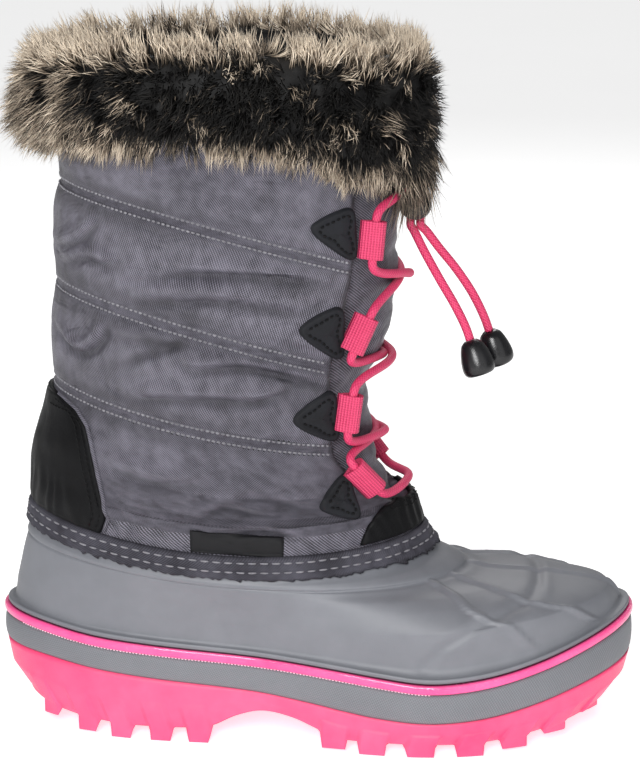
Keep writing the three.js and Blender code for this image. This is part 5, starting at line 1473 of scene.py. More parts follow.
@dataclass
class Trims:
    """Binding, leather overlays and label on the shaft, each lying on the cloth under it."""

    finishes: Finishes
    shaft: Shaft
    leather: float = 1.2
    label: float = 0.8

    def on_cloth(self, level: np.ndarray, turn: np.ndarray, offset: np.ndarray) -> np.ndarray:
        """A point some distance over the shaft's cloth, its finest ripples left out."""
        cloth = LAST.puff(level) + 0.55 * (self.shaft.offset(level, turn) - LAST.puff(level))
        return LAST.skin(level, turn, np.maximum(cloth, self.shaft.offset(level, turn) - 0.15) + offset)

    def binding(self) -> None:
        """Binding: a folded cloth band over the shell's edge, full between its two edges, and its stitches."""
        count = 520
        turn = np.linspace(0.0, FULL_TURN, count, endpoint=False)
        levels = np.linspace(5.0, 6.0, 19)
        level, around = np.meshgrid(levels, turn, indexing="ij")
        place = LAST.upper(level, around)
        wave = 0.3 * ripple(place, 16.0, 31) + 0.12 * ripple(place, 5.0, 32)
        low = 2.75 + (1.95 - 2.75) * (level - 5.0)
        edge = smooth(5.0, 5.09, level) * smooth(6.0, 5.93, level)
        dips = 0.35 * (np.exp(-(((level - 5.83) / 0.05) ** 2)) + np.exp(-(((level - 5.47) / 0.05) ** 2)))
        out = low - 0.9 * (1.0 - edge) + wave * 0.8 * edge - dips
        ragged = 0.06 * ripple(place[:1], 3.2, 33) + 0.03 * ripple(place[:1], 1.5, 34)
        level = level + ragged * smooth(5.25, 5.0, level)
        face = LAST.skin(level, around, out)
        back_levels = np.array([6.0, 5.5, 5.08])
        back, back_turn = np.meshgrid(back_levels, turn, indexing="ij")
        under = LAST.skin(back, back_turn, np.where(back > 5.2, 0.3, 1.15))
        grid = np.concatenate([face, under, face[:1]])
        length = np.linspace(0.0, 330.0, count + 1)
        up = np.concatenate([np.linspace(0.0, 9.0, len(levels)), [8.0, 4.0, 0.0, 0.0]])
        work = Patchwork()
        # Painted shade, kept in the tone attribute: darker along the band's lower edge by the lip, along its upper edge
        # under the shaft and in the hollows of its wave, and on the back rows.
        tone = np.concatenate([
            0.5 * smooth(5.16, 5.0, level) + 0.25 * smooth(5.9, 6.0, level) + np.clip(-wave, 0, 1) * 0.4,
            np.full((len(back_levels) + 1, count), 0.5),
        ])
        work.grid(grid, np.stack(np.broadcast_arrays(length[None], up[:, None]), axis=-1), wrap=True, tone=tone)
        dressed(work.piece("binding_band", [self.finishes.binding]), "binding_cloth", "binding")
        threads = Patchwork()
        ring = np.linspace(0.0, FULL_TURN, 700)
        for height, shift in ((5.83, 0.0), (5.47, 0.02)):
            at = np.full(ring.shape, height)
            near = np.interp(ring, turn, out[np.abs(levels - height).argmin()], period=FULL_TURN)
            line = LAST.skin(at, ring + shift, near + 0.15)
            thread(threads, line, LAST.normal(at, ring + shift), 4.4, 3.1, 0.8, 0.5)
        dressed(threads.piece("binding_stitches", [self.finishes.grey_thread], join=False), "binding_cloth")

    def edge_turn(self, table: np.ndarray, height: np.ndarray, turn: np.ndarray) -> np.ndarray:
        """Turn at which the surface reaches an edge's X, the edge given as height share and X share."""
        x = LAST.along(np.interp(height / LAST.rim, table[:, 0], table[:, 1]))
        level = LAST.level_at(height, turn)
        back, front = LAST.along(SECTIONS.read("back", level)), LAST.along(SECTIONS.read("front", level))
        return np.arccos(np.clip(1.0 - 2.0 * (x - back) / (front - back), -1.0, 1.0))

    def counter(self) -> None:
        """Heel counter: rows from the binding up to the top line, columns round the heel.

        Each row runs as far round as the front edge's X lets it at that row's height. The front edge
        has a rolled welt beside it and two rows of black stitches.
        """
        share = np.concatenate([np.linspace(0.0, 0.86, 30), np.linspace(0.875, 0.999, 18)])
        nominal = LAST.rim * (0.268 + (0.512 - 0.268) * share)
        reach = self.edge_turn(COUNTER_EDGE, nominal, np.full(share.shape, 0.5))
        sideways = np.linspace(-1.0, 1.0, 121)
        turn = reach[:, None] * sideways[None]
        foot = LAST.upper(np.full(turn.shape, 6.02), turn)[..., 2]
        height = foot + (LAST.rim * 0.512 - foot) * share[:, None]
        level = LAST.level_at(height, turn)
        shown = np.where(turn < 0.0, turn + FULL_TURN, turn)
        to_side = (1.0 - np.abs(sideways))[None] * reach[:, None] * SHAFT_REACH
        to_edge = np.minimum(to_side, (1.0 - share[:, None]) * 62.0)
        roll = smooth(0.0, 1.1, to_edge)
        swell = 0.25 * smooth(2.0, 9.0, to_edge) - 0.22 * np.exp(-(((to_edge - 2.0) / 0.55) ** 2))
        lift = 0.25 + self.leather * (0.35 + 0.65 * roll) + swell + 0.2 * ripple(LAST.upper(level, turn), 26.0, 41)
        calm = LAST.puff(level) * smooth(0.0, 5.0, to_edge)
        top = LAST.skin(level, turn, np.maximum(self.shaft.offset(level, shown), calm * 0.6) + lift)
        under = LAST.skin(level, turn, np.maximum(LAST.puff(level) - 1.0, 0.05))
        work = Patchwork()
        uv = np.stack([turn * SHAFT_REACH, height], axis=-1)
        work.slab(top, under, uv)
        dressed(work.piece("heel_leather", [self.finishes.leather]), "leather", "heel_counter")
        threads, welt = Patchwork(), Patchwork()
        for sign in (-1, 1):
            v = np.linspace(0.02, 0.97, 260)
            z = LAST.rim * (0.268 + (0.512 - 0.268) * v)
            edge = self.edge_turn(COUNTER_EDGE, z, np.full(v.shape, 0.5))
            for inset in (2.0, 4.6):
                t = sign * np.maximum(edge - inset / SHAFT_REACH, 0.0)
                h = LAST.upper(np.full(t.shape, 6.02), t)[..., 2]
                z_here = h + (LAST.rim * 0.512 - h) * v - inset * smooth(0.84, 1.0, v)
                lev = LAST.level_at(z_here, t)
                cover = self.shaft.offset(lev, np.where(t < 0, t + 2 * math.pi, t))
                line = LAST.skin(lev, t, cover + 0.25 + self.leather + (0.02 if inset < 3 else 0.28))
                thread(threads, line, LAST.normal(lev, t), 2.2, 1.7, 0.6, 0.4)
            t = sign * (edge + 0.9 / SHAFT_REACH)
            h = LAST.upper(np.full(t.shape, 6.02), t)[..., 2]
            lev = LAST.level_at(h + (LAST.rim * 0.512 - h) * v, t)
            cover = self.shaft.offset(lev, np.where(t < 0, t + 2 * math.pi, t))
            closed_tube(welt, spread(LAST.skin(lev, t, cover + 0.35), 150), 0.85, 10)
        dressed(threads.piece("heel_stitches", [self.finishes.black_thread], join=False), "leather")
        dressed(welt.piece("heel_welt", [self.finishes.nylon]), "nylon")

    def vamp(self) -> None:
        """Vamp patch: a leather crescent under the throat, from the binding up to the throat's foot."""
        share = np.linspace(0.0, 1.0, 26)
        nominal = LAST.rim * (0.283 + (0.366 - 0.283) * share)
        reach = math.pi - self.edge_turn(VAMP_EDGE, nominal, np.full(share.shape, math.pi - 0.4))
        c = np.linspace(-1.0, 1.0, 61)
        turn = math.pi + reach[:, None] * c[None]
        low = LAST.upper(np.full(turn.shape, 6.05), turn)
        wide = np.abs(low[..., 1])
        brim = LAST.rim * np.interp(wide / LAST.ball_half, *VAMP_BRIM)
        height = low[..., 2] + (brim - low[..., 2]) * share[:, None]
        level = LAST.level_at(height, turn)
        to_edge = np.minimum((1.0 - np.abs(c))[None] * reach[:, None] * 42.0, (1.0 - share[:, None]) * 14.0)
        seam = 0.2 * np.exp(-(((to_edge - 2.0) / 0.55) ** 2))
        lift = 0.25 + self.leather * (0.35 + 0.65 * smooth(0.0, 1.1, to_edge)) - seam
        cover = np.maximum(self.shaft.offset(level, turn), 0.0)
        top = LAST.skin(level, turn, cover + lift)
        under = LAST.skin(level, turn, np.maximum(LAST.puff(level) - 1.0, 0.05))
        work = Patchwork()
        work.slab(top, under, np.stack([turn * 42.0, height], axis=-1))
        dressed(work.piece("vamp_leather", [self.finishes.leather]), "leather", "vamp_patch")
        threads = Patchwork()
        for inset in (1.9, 4.2):
            k = np.clip(c * 0.93, -1, 1)
            row = np.full(k.shape, 1.0 - inset / 14.0)
            t = math.pi + np.interp(row, share, reach) * k
            low_z = LAST.upper(np.full(t.shape, 6.05), t)
            edge = LAST.rim * np.interp(np.abs(low_z[:, 1]) / LAST.ball_half, *VAMP_BRIM)
            z = low_z[:, 2] + (edge - low_z[:, 2]) * row
            lev = LAST.level_at(z, t)
            line = spread(LAST.skin(lev, t, np.maximum(self.shaft.offset(lev, t), 0.0) + 1.5), 120)
            out = LAST.normal(lev, t)[np.linspace(0, len(t) - 1, 120).astype(int)]
            thread(threads, line, out, 2.2, 1.7, 0.6, 0.4)
        dressed(threads.piece("vamp_stitches", [self.finishes.black_thread], join=False), "leather")

    def patch(
        self, name: str, outline: np.ndarray, side: Side, thickness: float, finish: bpy.types.Material, slot: str,
        node: str, inset: float, threads: Patchwork | None,
    ) -> None:
        """Add a flat trim on one side: circles drawn in from its outline, its edge rounded down.

        Args:
            name: The piece's name.
            outline: X and height round the trim.
            side: Which side it is sewn to.
            thickness: How thick it is.
            finish: Its material.
            slot: Its material slot; not used.
            node: The node that it stands for.
            inset: How far in its stitches run.
            threads: Where its stitches go, or nothing.
        """
        middle = outline.mean(axis=0)
        radius = np.linalg.norm(outline - middle, axis=1)
        in_mm = np.array([99.0, 40.0, 20.0, 12.0, 8.0, 6.0, 4.6, 3.6, 2.9, 2.4, 2.0, 1.6, 1.1, 0.7, 0.35, 0.1, 0.0])
        share = np.clip(1.0 - in_mm[:, None] / radius[None], 0.0, 1.0)
        share = np.maximum(share, np.linspace(0.0, 0.8, len(in_mm))[:, None] * (in_mm[:, None] < 50) * 0.5)
        share = np.maximum.accumulate(share, axis=0)
        flat = middle + (outline - middle)[None] * share[..., None]
        depth = (1.0 - share) * radius[None]
        body = 0.3 + 0.7 * smooth(0.0, 0.9, depth)
        seam = 0.22 * np.exp(-(((depth - inset) / 0.5) ** 2)) if threads is not None else 0.0
        level, turn = LAST.on_side(flat[..., 0], flat[..., 1], side.value)
        swell = 0.3 * smooth(inset, inset + 5.0, depth) if threads is not None else 0.0
        top = self.on_cloth(level, turn, 0.2 + thickness * body - seam + swell)
        under = self.on_cloth(level, turn, np.zeros(level.shape) - 0.5)[[-1, 0]]
        uv = np.concatenate([flat, flat[[-1, 0]]])
        uv = np.concatenate([uv, uv[:, :1]], axis=1)
        work = Patchwork()
        work.grid(np.concatenate([top, under]), uv, wrap=True)
        dressed(work.piece(name, [finish]), slot, node)
        if threads is not None:
            line = middle + (outline - middle) * (1.0 - inset / radius)[:, None]
            line = np.vstack([line, line[:1]])
            lev, t = LAST.on_side(line[:, 0], line[:, 1], side.value)
            path = self.on_cloth(lev, t, np.full(lev.shape, 0.2 + thickness + 0.05))
            thread(threads, path, LAST.normal(lev, t), 2.2, 1.5, 0.85, 0.5)

    def lace_patches(self) -> None:
        """The four stitched leather triangles on each side, their corners round and their sides full."""
        threads = Patchwork()
        for side in Side:
            for number, corners in enumerate(PATCHES, 1):
                c = np.array([(LAST.along(a), LAST.rim * b) for a, b in corners])
                middle = c.mean(axis=0)
                points = []
                for k, (here, after) in enumerate(zip(c, np.roll(c, -1, axis=0))):
                    half = (here + after) / 2.0
                    full = 0.04 if k == 1 else 0.16
                    points += [here * 0.9 + after * 0.1, half + (half - middle) * full, here * 0.1 + after * 0.9]
                loop = np.array(points)
                ring = smooth_curve(np.vstack([loop[-2:], loop, loop[:2]]), 400)
                first = np.linalg.norm(ring - loop[0], axis=1)[:200].argmin()
                last = np.linalg.norm(ring - loop[0], axis=1)[200:].argmin() + 200
                outline = spread(ring[first : last + 1], 97)[:-1]
                name = f"lace_leather_{side.word}_{number}"
                self.patch(name, outline, side, self.leather, self.finishes.patch_leather, "leather",
                           f"lace_patch_{side.word}_{number}", 2.9, threads)
        dressed(threads.piece("patch_stitches", [self.finishes.black_thread], join=False), "leather")

    def side_label(self) -> None:
        """Side label: a plain woven strip on the outer side, nothing on it."""
        corners = [(0.313, 0.3), (0.455, 0.291), (0.455, 0.321), (0.313, 0.333)]
        points = [(LAST.along(a), LAST.rim * b) for a, b in corners]
        rows = []
        for here, after in zip(points, points[1:] + points[:1]):
            t = np.linspace(0.0, 1.0, 25)[:-1, None]
            rows.append(np.array(here) * (1 - t) + np.array(after) * t)
        self.patch("blank_label", np.vstack(rows), Side.OUTER, self.label, self.finishes.label, "woven_label",
                   "side_label", 1.2, None)

    def make(self) -> None:
        """Make every trim."""
        self.binding()
        self.counter()
        self.vamp()
        self.lace_patches()
        self.side_label()


# Lacing


LOOPS = ((0.75, 0.62, 6.0), (0.617, 0.61, 14.0), (0.5, 0.585, 0.0), (0.393, 0.5, -28.0))
LOCK_HEIGHT = LAST.rim * 0.782
LOCK_RADIUS = 6.0
CORD_DIAMETER = 3.3
CORD_GAP = 3.6
LOCK_MIDDLE = LAST.skin(LAST.level_at(LOCK_HEIGHT, math.pi), math.pi, LOCK_RADIUS + LAST.fold(LOCK_HEIGHT) + 0.6)
LOCK_FOOT = float(LOCK_MIDDLE[2]) - LOCK_RADIUS - 0.8

# The free ends' routes below the lock, in metres from where each leaves it
END_OUTER = [
    (0.0, 0.0, 0.0), (0.0001, 0.0, -0.0018), (0.0014, -0.0006, -0.004), (0.005, -0.0016, -0.011),
    (0.011, -0.0032, -0.0215), (0.017, -0.0046, -0.0315), (0.021, -0.0054, -0.0395), (0.0226, -0.0058, -0.044),
]
END_INNER = [
    (0.0, 0.0, 0.0), (0.0002, 0.0, -0.0018), (0.0022, 0.0006, -0.004), (0.007, 0.0018, -0.0105),
    (0.0136, 0.0036, -0.019), (0.0198, 0.005, -0.0285), (0.0244, 0.006, -0.038), (0.0262, 0.0064, -0.043),
]


@dataclass
class LaceEnds:
    """The two free ends of the lace, each hanging from the lock with a bell on it."""

    finishes: Finishes
    bell_radius: float = 6.1
    bell_length: float = 13.5

    def bell(self, word: str, end: np.ndarray, way: np.ndarray) -> bpy.types.Object:
        """Bell: a turned body, narrow at the cord, widest near its rim and hollow under it."""
        r, n = self.bell_radius, self.bell_length
        side = smooth_curve(np.array([
            (0.3, 0.42 * r), (0.8, 0.52 * r), (0.12 * n, 0.66 * r), (0.36 * n, 0.86 * r), (0.62 * n, 0.98 * r),
            (0.8 * n, 1.0 * r), (0.93 * n, 0.92 * r), (0.99 * n, 0.76 * r), (0.985 * n, 0.55 * r), (0.95 * n, 0.4 * r),
        ]), 44)
        profile = np.vstack([[(0.3, 0.0)], side, [(0.94 * n, 0.0)]])
        work = Patchwork()
        lathe(work, end, way, profile, 40)
        piece = work.piece(f"bell_{word}", [self.finishes.plastic])
        return dressed(piece, "black_plastic", f"cord_end_{word}")

    def make(self) -> None:
        """Make both ends, each with its bell."""
        for side, table, shift in ((Side.OUTER, END_OUTER, -CORD_GAP / 2.0), (Side.INNER, END_INNER, CORD_GAP / 2.0)):
            start = np.array([float(LOCK_MIDDLE[0]) + shift, 0.0, LOCK_FOOT])
            line = smooth_curve(start + np.array(table) / MM, 60)
            work = Patchwork()
            closed_tube(work, line, CORD_DIAMETER / 2.0, 14)
            piece = dressed(work.piece(f"free_lace_{side.word}", [self.finishes.cord]), "cord", f"lace_end_{side.word}")
            bell = self.bell(side.word, line[-1], line[-1] - line[-4])


@dataclass
class Lacing:
    """Gusset behind the throat, webbing loops, the laced cord, and the lock it runs through."""

    finishes: Finishes
    shaft: Shaft
    loop_length: float = 14.2
    loop_depth: float = 8.8
    loop_thickness: float = 6.8
    webbing: float = 0.9
    gusset_thickness: float = 1.5

    def gusset(self) -> None:
        """Gusset: under the shaft at both edges, full in the middle, with lying folds between the loops."""
        rows, columns = 110, 49
        up = np.linspace(0.335, 0.895, rows)[:, None]
        a = np.linspace(-1.0, 1.0, columns)[None]
        throat = np.interp(np.clip(up, 0.375, 1.0), THROAT[:, 0], THROAT[:, 1])
        half = LAST.ball_half * (throat + 0.12) * np.abs(a)
        height = np.broadcast_to(LAST.rim * up, half.shape)
        outer = LAST.turn_at(height, half, -1)
        turn = np.where(a < 0.0, outer, FULL_TURN - outer)
        level = LAST.level_at(height, turn)
        full = np.maximum(0.0, 1.0 - (half / (LAST.ball_half * (throat - 0.06))) ** 4) * smooth(0.335, 0.375, up)
        under = -self.shaft.thickness - 0.6
        place = LAST.upper(level, turn)
        folds = 0.6 * np.sin(FULL_TURN * (height / 15.5) + 1.6 * ripple(place, 30.0, 51))
        folds = folds + 0.5 * ripple(place * np.array([1.0, 0.5, 1.6]), 14.0, 52)
        offset = under + (LAST.fold(height) - under) * full + np.minimum(folds, 0.9) * full * 0.8
        top = LAST.skin(level, turn, offset)
        back = LAST.skin(level, turn, offset - self.gusset_thickness)
        work = Patchwork()
        uv = np.stack([half * np.sign(a), height], axis=-1)
        work.slab(top, back, uv)
        dressed(work.piece("folded_gusset", [self.finishes.nylon]), "nylon", "tongue_gusset")

    def place(self, number: int, side: Side) -> tuple[np.ndarray, np.ndarray, np.ndarray, np.ndarray]:
        """A loop's channel: its middle, the way along the throat's edge, the way out and the way ahead.

        Args:
            number: Which loop, from the top.
            side: Which side of the throat.

        Returns:
            The middle and the three ways.
        """
        up_share, half, lean = LOOPS[number]
        height = LAST.rim * up_share
        turn = float(LAST.turn_at(height, LAST.ball_half * half, side.value))
        level = float(LAST.level_at(height, turn))
        skin = LAST.skin(level, turn, 0.0)
        out = LAST.normal(level, turn)
        forward = np.array([0.0, -side.value, 0.0]) + out * side.value * out[1]
        up = unit(np.cross(out, unit(forward)) * side.value)
        up = up if up[2] > 0 else -up
        angle = math.radians(lean) * side.value
        up = up * math.cos(angle) + np.cross(out, up) * math.sin(angle) + out * (out @ up) * (1 - math.cos(angle))
        ahead = unit(np.cross(up, out))
        ahead = -ahead if ahead[1] * side.value > 0 else ahead
        middle = skin + out * (self.loop_thickness / 2.0 + 0.3 + float(LAST.puff(level)))
        return middle, up, out, ahead

    def loops(self) -> None:
        """Loops: webbing folded round the lace, drawn flat behind it, as a closed strip of two faces."""
        for side in Side:
            for number in range(len(LOOPS)):
                middle, up, out, ahead = self.place(number, side)
                t = np.linspace(-math.pi / 2.0, math.pi / 2.0, 17)

                def section(depth: float, thick: float, tail: float) -> np.ndarray:
                    """Section round the lace: a half circle in front, its two ends brought together behind."""
                    r = thick / 2.0
                    front = np.stack([depth / 2.0 - r + r * np.cos(t), r * np.sin(t)], axis=1)
                    s = np.linspace(0.0, 1.0, 12)[1:, None]
                    top = np.concatenate([depth / 2.0 - r + (0.3 - depth + r) * s,
                                          r + (tail - r) * s**1.7], axis=1)
                    low = np.stack([top[::-1, 0], np.full(len(top), -r)], axis=1)
                    return np.vstack([front, top, low])

                outer = section(self.loop_depth, self.loop_thickness, -self.loop_thickness / 2.0 + 1.8)
                centre = outer.mean(axis=0)
                inner = section(self.loop_depth - 2 * self.webbing, self.loop_thickness - 2 * self.webbing,
                                -self.loop_thickness / 2.0 + self.webbing + 0.06)
                half = self.loop_length / 2.0
                rows = []
                for profile, heights in ((outer, (-half + 0.15, -half + 0.5, 0.0, half - 0.5, half - 0.15)),
                                         (inner, (half - 0.15, 0.0, -half + 0.15))):
                    for h in heights:
                        draw = 0.985 if abs(abs(h) - half + 0.15) < 1e-6 else 1.0
                        p = centre + (profile - centre) * draw
                        rows.append(middle + p[:, :1] * ahead + p[:, 1:] * out + h * up)
                grid = np.array(rows + rows[:1])
                length = length_along(np.vstack([outer, outer[:1]]))
                marks = np.array([-half, -half + 0.5, 0.0, half - 0.5, half, half, 0.0, -half, -half])
                uv = np.stack(np.broadcast_arrays(length[None], marks[:, None]), axis=-1)
                work = Patchwork()
                work.grid(grid, uv, wrap=True)
                name = f"loop_{side.word}_{number + 1}"
                dressed(work.piece(name, [self.finishes.webbing]), "webbing", f"webbing_loop_{side.word}_{number + 1}")

    def route(self) -> np.ndarray:
        """Lace's route: up through the loops, from side to side before the gusset, and into the lock."""
        reach = self.loop_length / 2.0 + 2.6
        over = CORD_DIAMETER + 0.1

        def passage(number: int, side: Side) -> list[np.ndarray]:
            """The lace's foot, middle and top in a loop."""
            middle, up, _, ahead = self.place(number, side)
            centre = middle + ahead * 0.8
            return [centre - up * reach, centre, centre + up * reach]

        def strand(side: Side, lift: float) -> list[np.ndarray]:
            """One strand from the lowest loop to the top one, changing side at each crossing."""
            points = []
            for number in range(len(LOOPS) - 1, -1, -1):
                here = passage(number, side)
                points += here
                side = Side(-side.value)
                if number:
                    height = (here[2][2] + passage(number - 1, side)[0][2]) / 2.0
                    level = float(LAST.level_at(height, math.pi))
                    points.append(LAST.skin(level, math.pi, LAST.fold(height) + CORD_DIAMETER / 2.0 + 0.2 + lift))
            return points

        outer, inner = strand(Side.OUTER, 0.0), strand(Side.INNER, over)
        level = float(LAST.level_at(outer[0][2] - 1.0, math.pi))
        bottom = LAST.skin(level, math.pi, CORD_DIAMETER / 2.0 + 2.1)
        route = outer[::-1] + [bottom] + inner
        lock_x, lock_z = float(LOCK_MIDDLE[0]), float(LOCK_MIDDLE[2])

        def tail(start: np.ndarray, shift: float) -> list[np.ndarray]:
            """From the top loop over into the lock and down through it."""
            x, rise = lock_x + shift, lock_z + LOCK_RADIUS
            return [np.array(p) for p in (
                ((start[0] * 2 + x) / 3 + 1.5, 0.62 * start[1], start[2] + 4.5),
                ((start[0] + 2 * x) / 3 + 1.5, 0.28 * start[1], rise + 4.6),
                (x, float(np.sign(start[1])), rise + 3.0),
                (x, 0.0, rise + 1.0),
                (x, 0.0, lock_z),
                (x, 0.0, lock_z - LOCK_RADIUS - 0.5),
            )]

        first, last = tail(route[0], -CORD_GAP / 2.0), tail(route[-1], CORD_GAP / 2.0)
        return np.array(first[::-1] + route + last)

    def lace(self) -> None:
        """The laced cord as one braided tube."""
        work = Patchwork()
        closed_tube(work, smooth_curve(self.route(), 520), CORD_DIAMETER / 2.0, 14)
        dressed(work.piece("laced_cord", [self.finishes.cord]), "cord", "lace")

    def lock(self) -> None:
        """Cord lock: a barrel across the boot with a step at its mouth, and the button in it."""
        half = 6.0
        way = np.array([0.0, 1.0, 0.0])
        body = Patchwork()
        profile = round_profile([
            (-half + 1.5, 4.72, 0.0), (-half, 4.75, 0.3), (-half, 5.5, 0.4), (-half + 1.3, 5.6, 0.3),
            (-half + 1.5, 6.0, 0.3), (half - 0.6, 6.0, 1.4), (half, 4.6, 1.2), (half, 0.0, 0.0),
        ])
        profile = np.vstack([[(-half + 1.5, 0.0)], profile])
        lathe(body, LOCK_MIDDLE, way, profile, 48)
        dressed(body.piece("lock_barrel", [self.finishes.plastic]), "black_plastic", "cord_lock")
        button = Patchwork()
        profile = round_profile([
            (-half - 4.0, 0.0, 0.0), (-half - 4.0, 3.0, 0.6), (-half - 3.6, 4.1, 0.8), (-half - 2.6, 4.4, 0.6),
            (1.2, 4.4, 0.3), (1.2, 0.0, 0.0),
        ])
        lathe(button, LOCK_MIDDLE, way, profile, 40)
        dressed(button.piece("lock_push", [self.finishes.plastic]), "black_plastic", "lock_button")

    def make(self) -> None:
        """Make every piece of the lacing."""
        self.gusset()
        self.loops()
        self.lace()
        self.lock()


# Fur


FUR = Table("degrees foot top out", [
    (0, 0.87, 1.005, 17), (50, 0.885, 1.02, 16), (100, 0.885, 1.024, 15), (135, 0.835, 1.02, 14),
    (160, 0.838, 1.015, 13), (180, 0.845, 1.005, 12),
])
ROLL = Table("way out inward high drop", [
    (0, 0.05, 0, 0, 0), (0.08, 0.45, 0, 0.03, 0), (0.22, 0.85, 0, 0.22, 0), (0.38, 1, 0, 0.5, 0),
    (0.55, 0.8, 0, 0.84, 0), (0.68, 0.35, 0, 0.985, 0), (0.78, 0, 3.6, 1, 1.5), (0.87, 0, 8.1, 1, 8),
    (1, 0, 8.1, 1, 24),
])


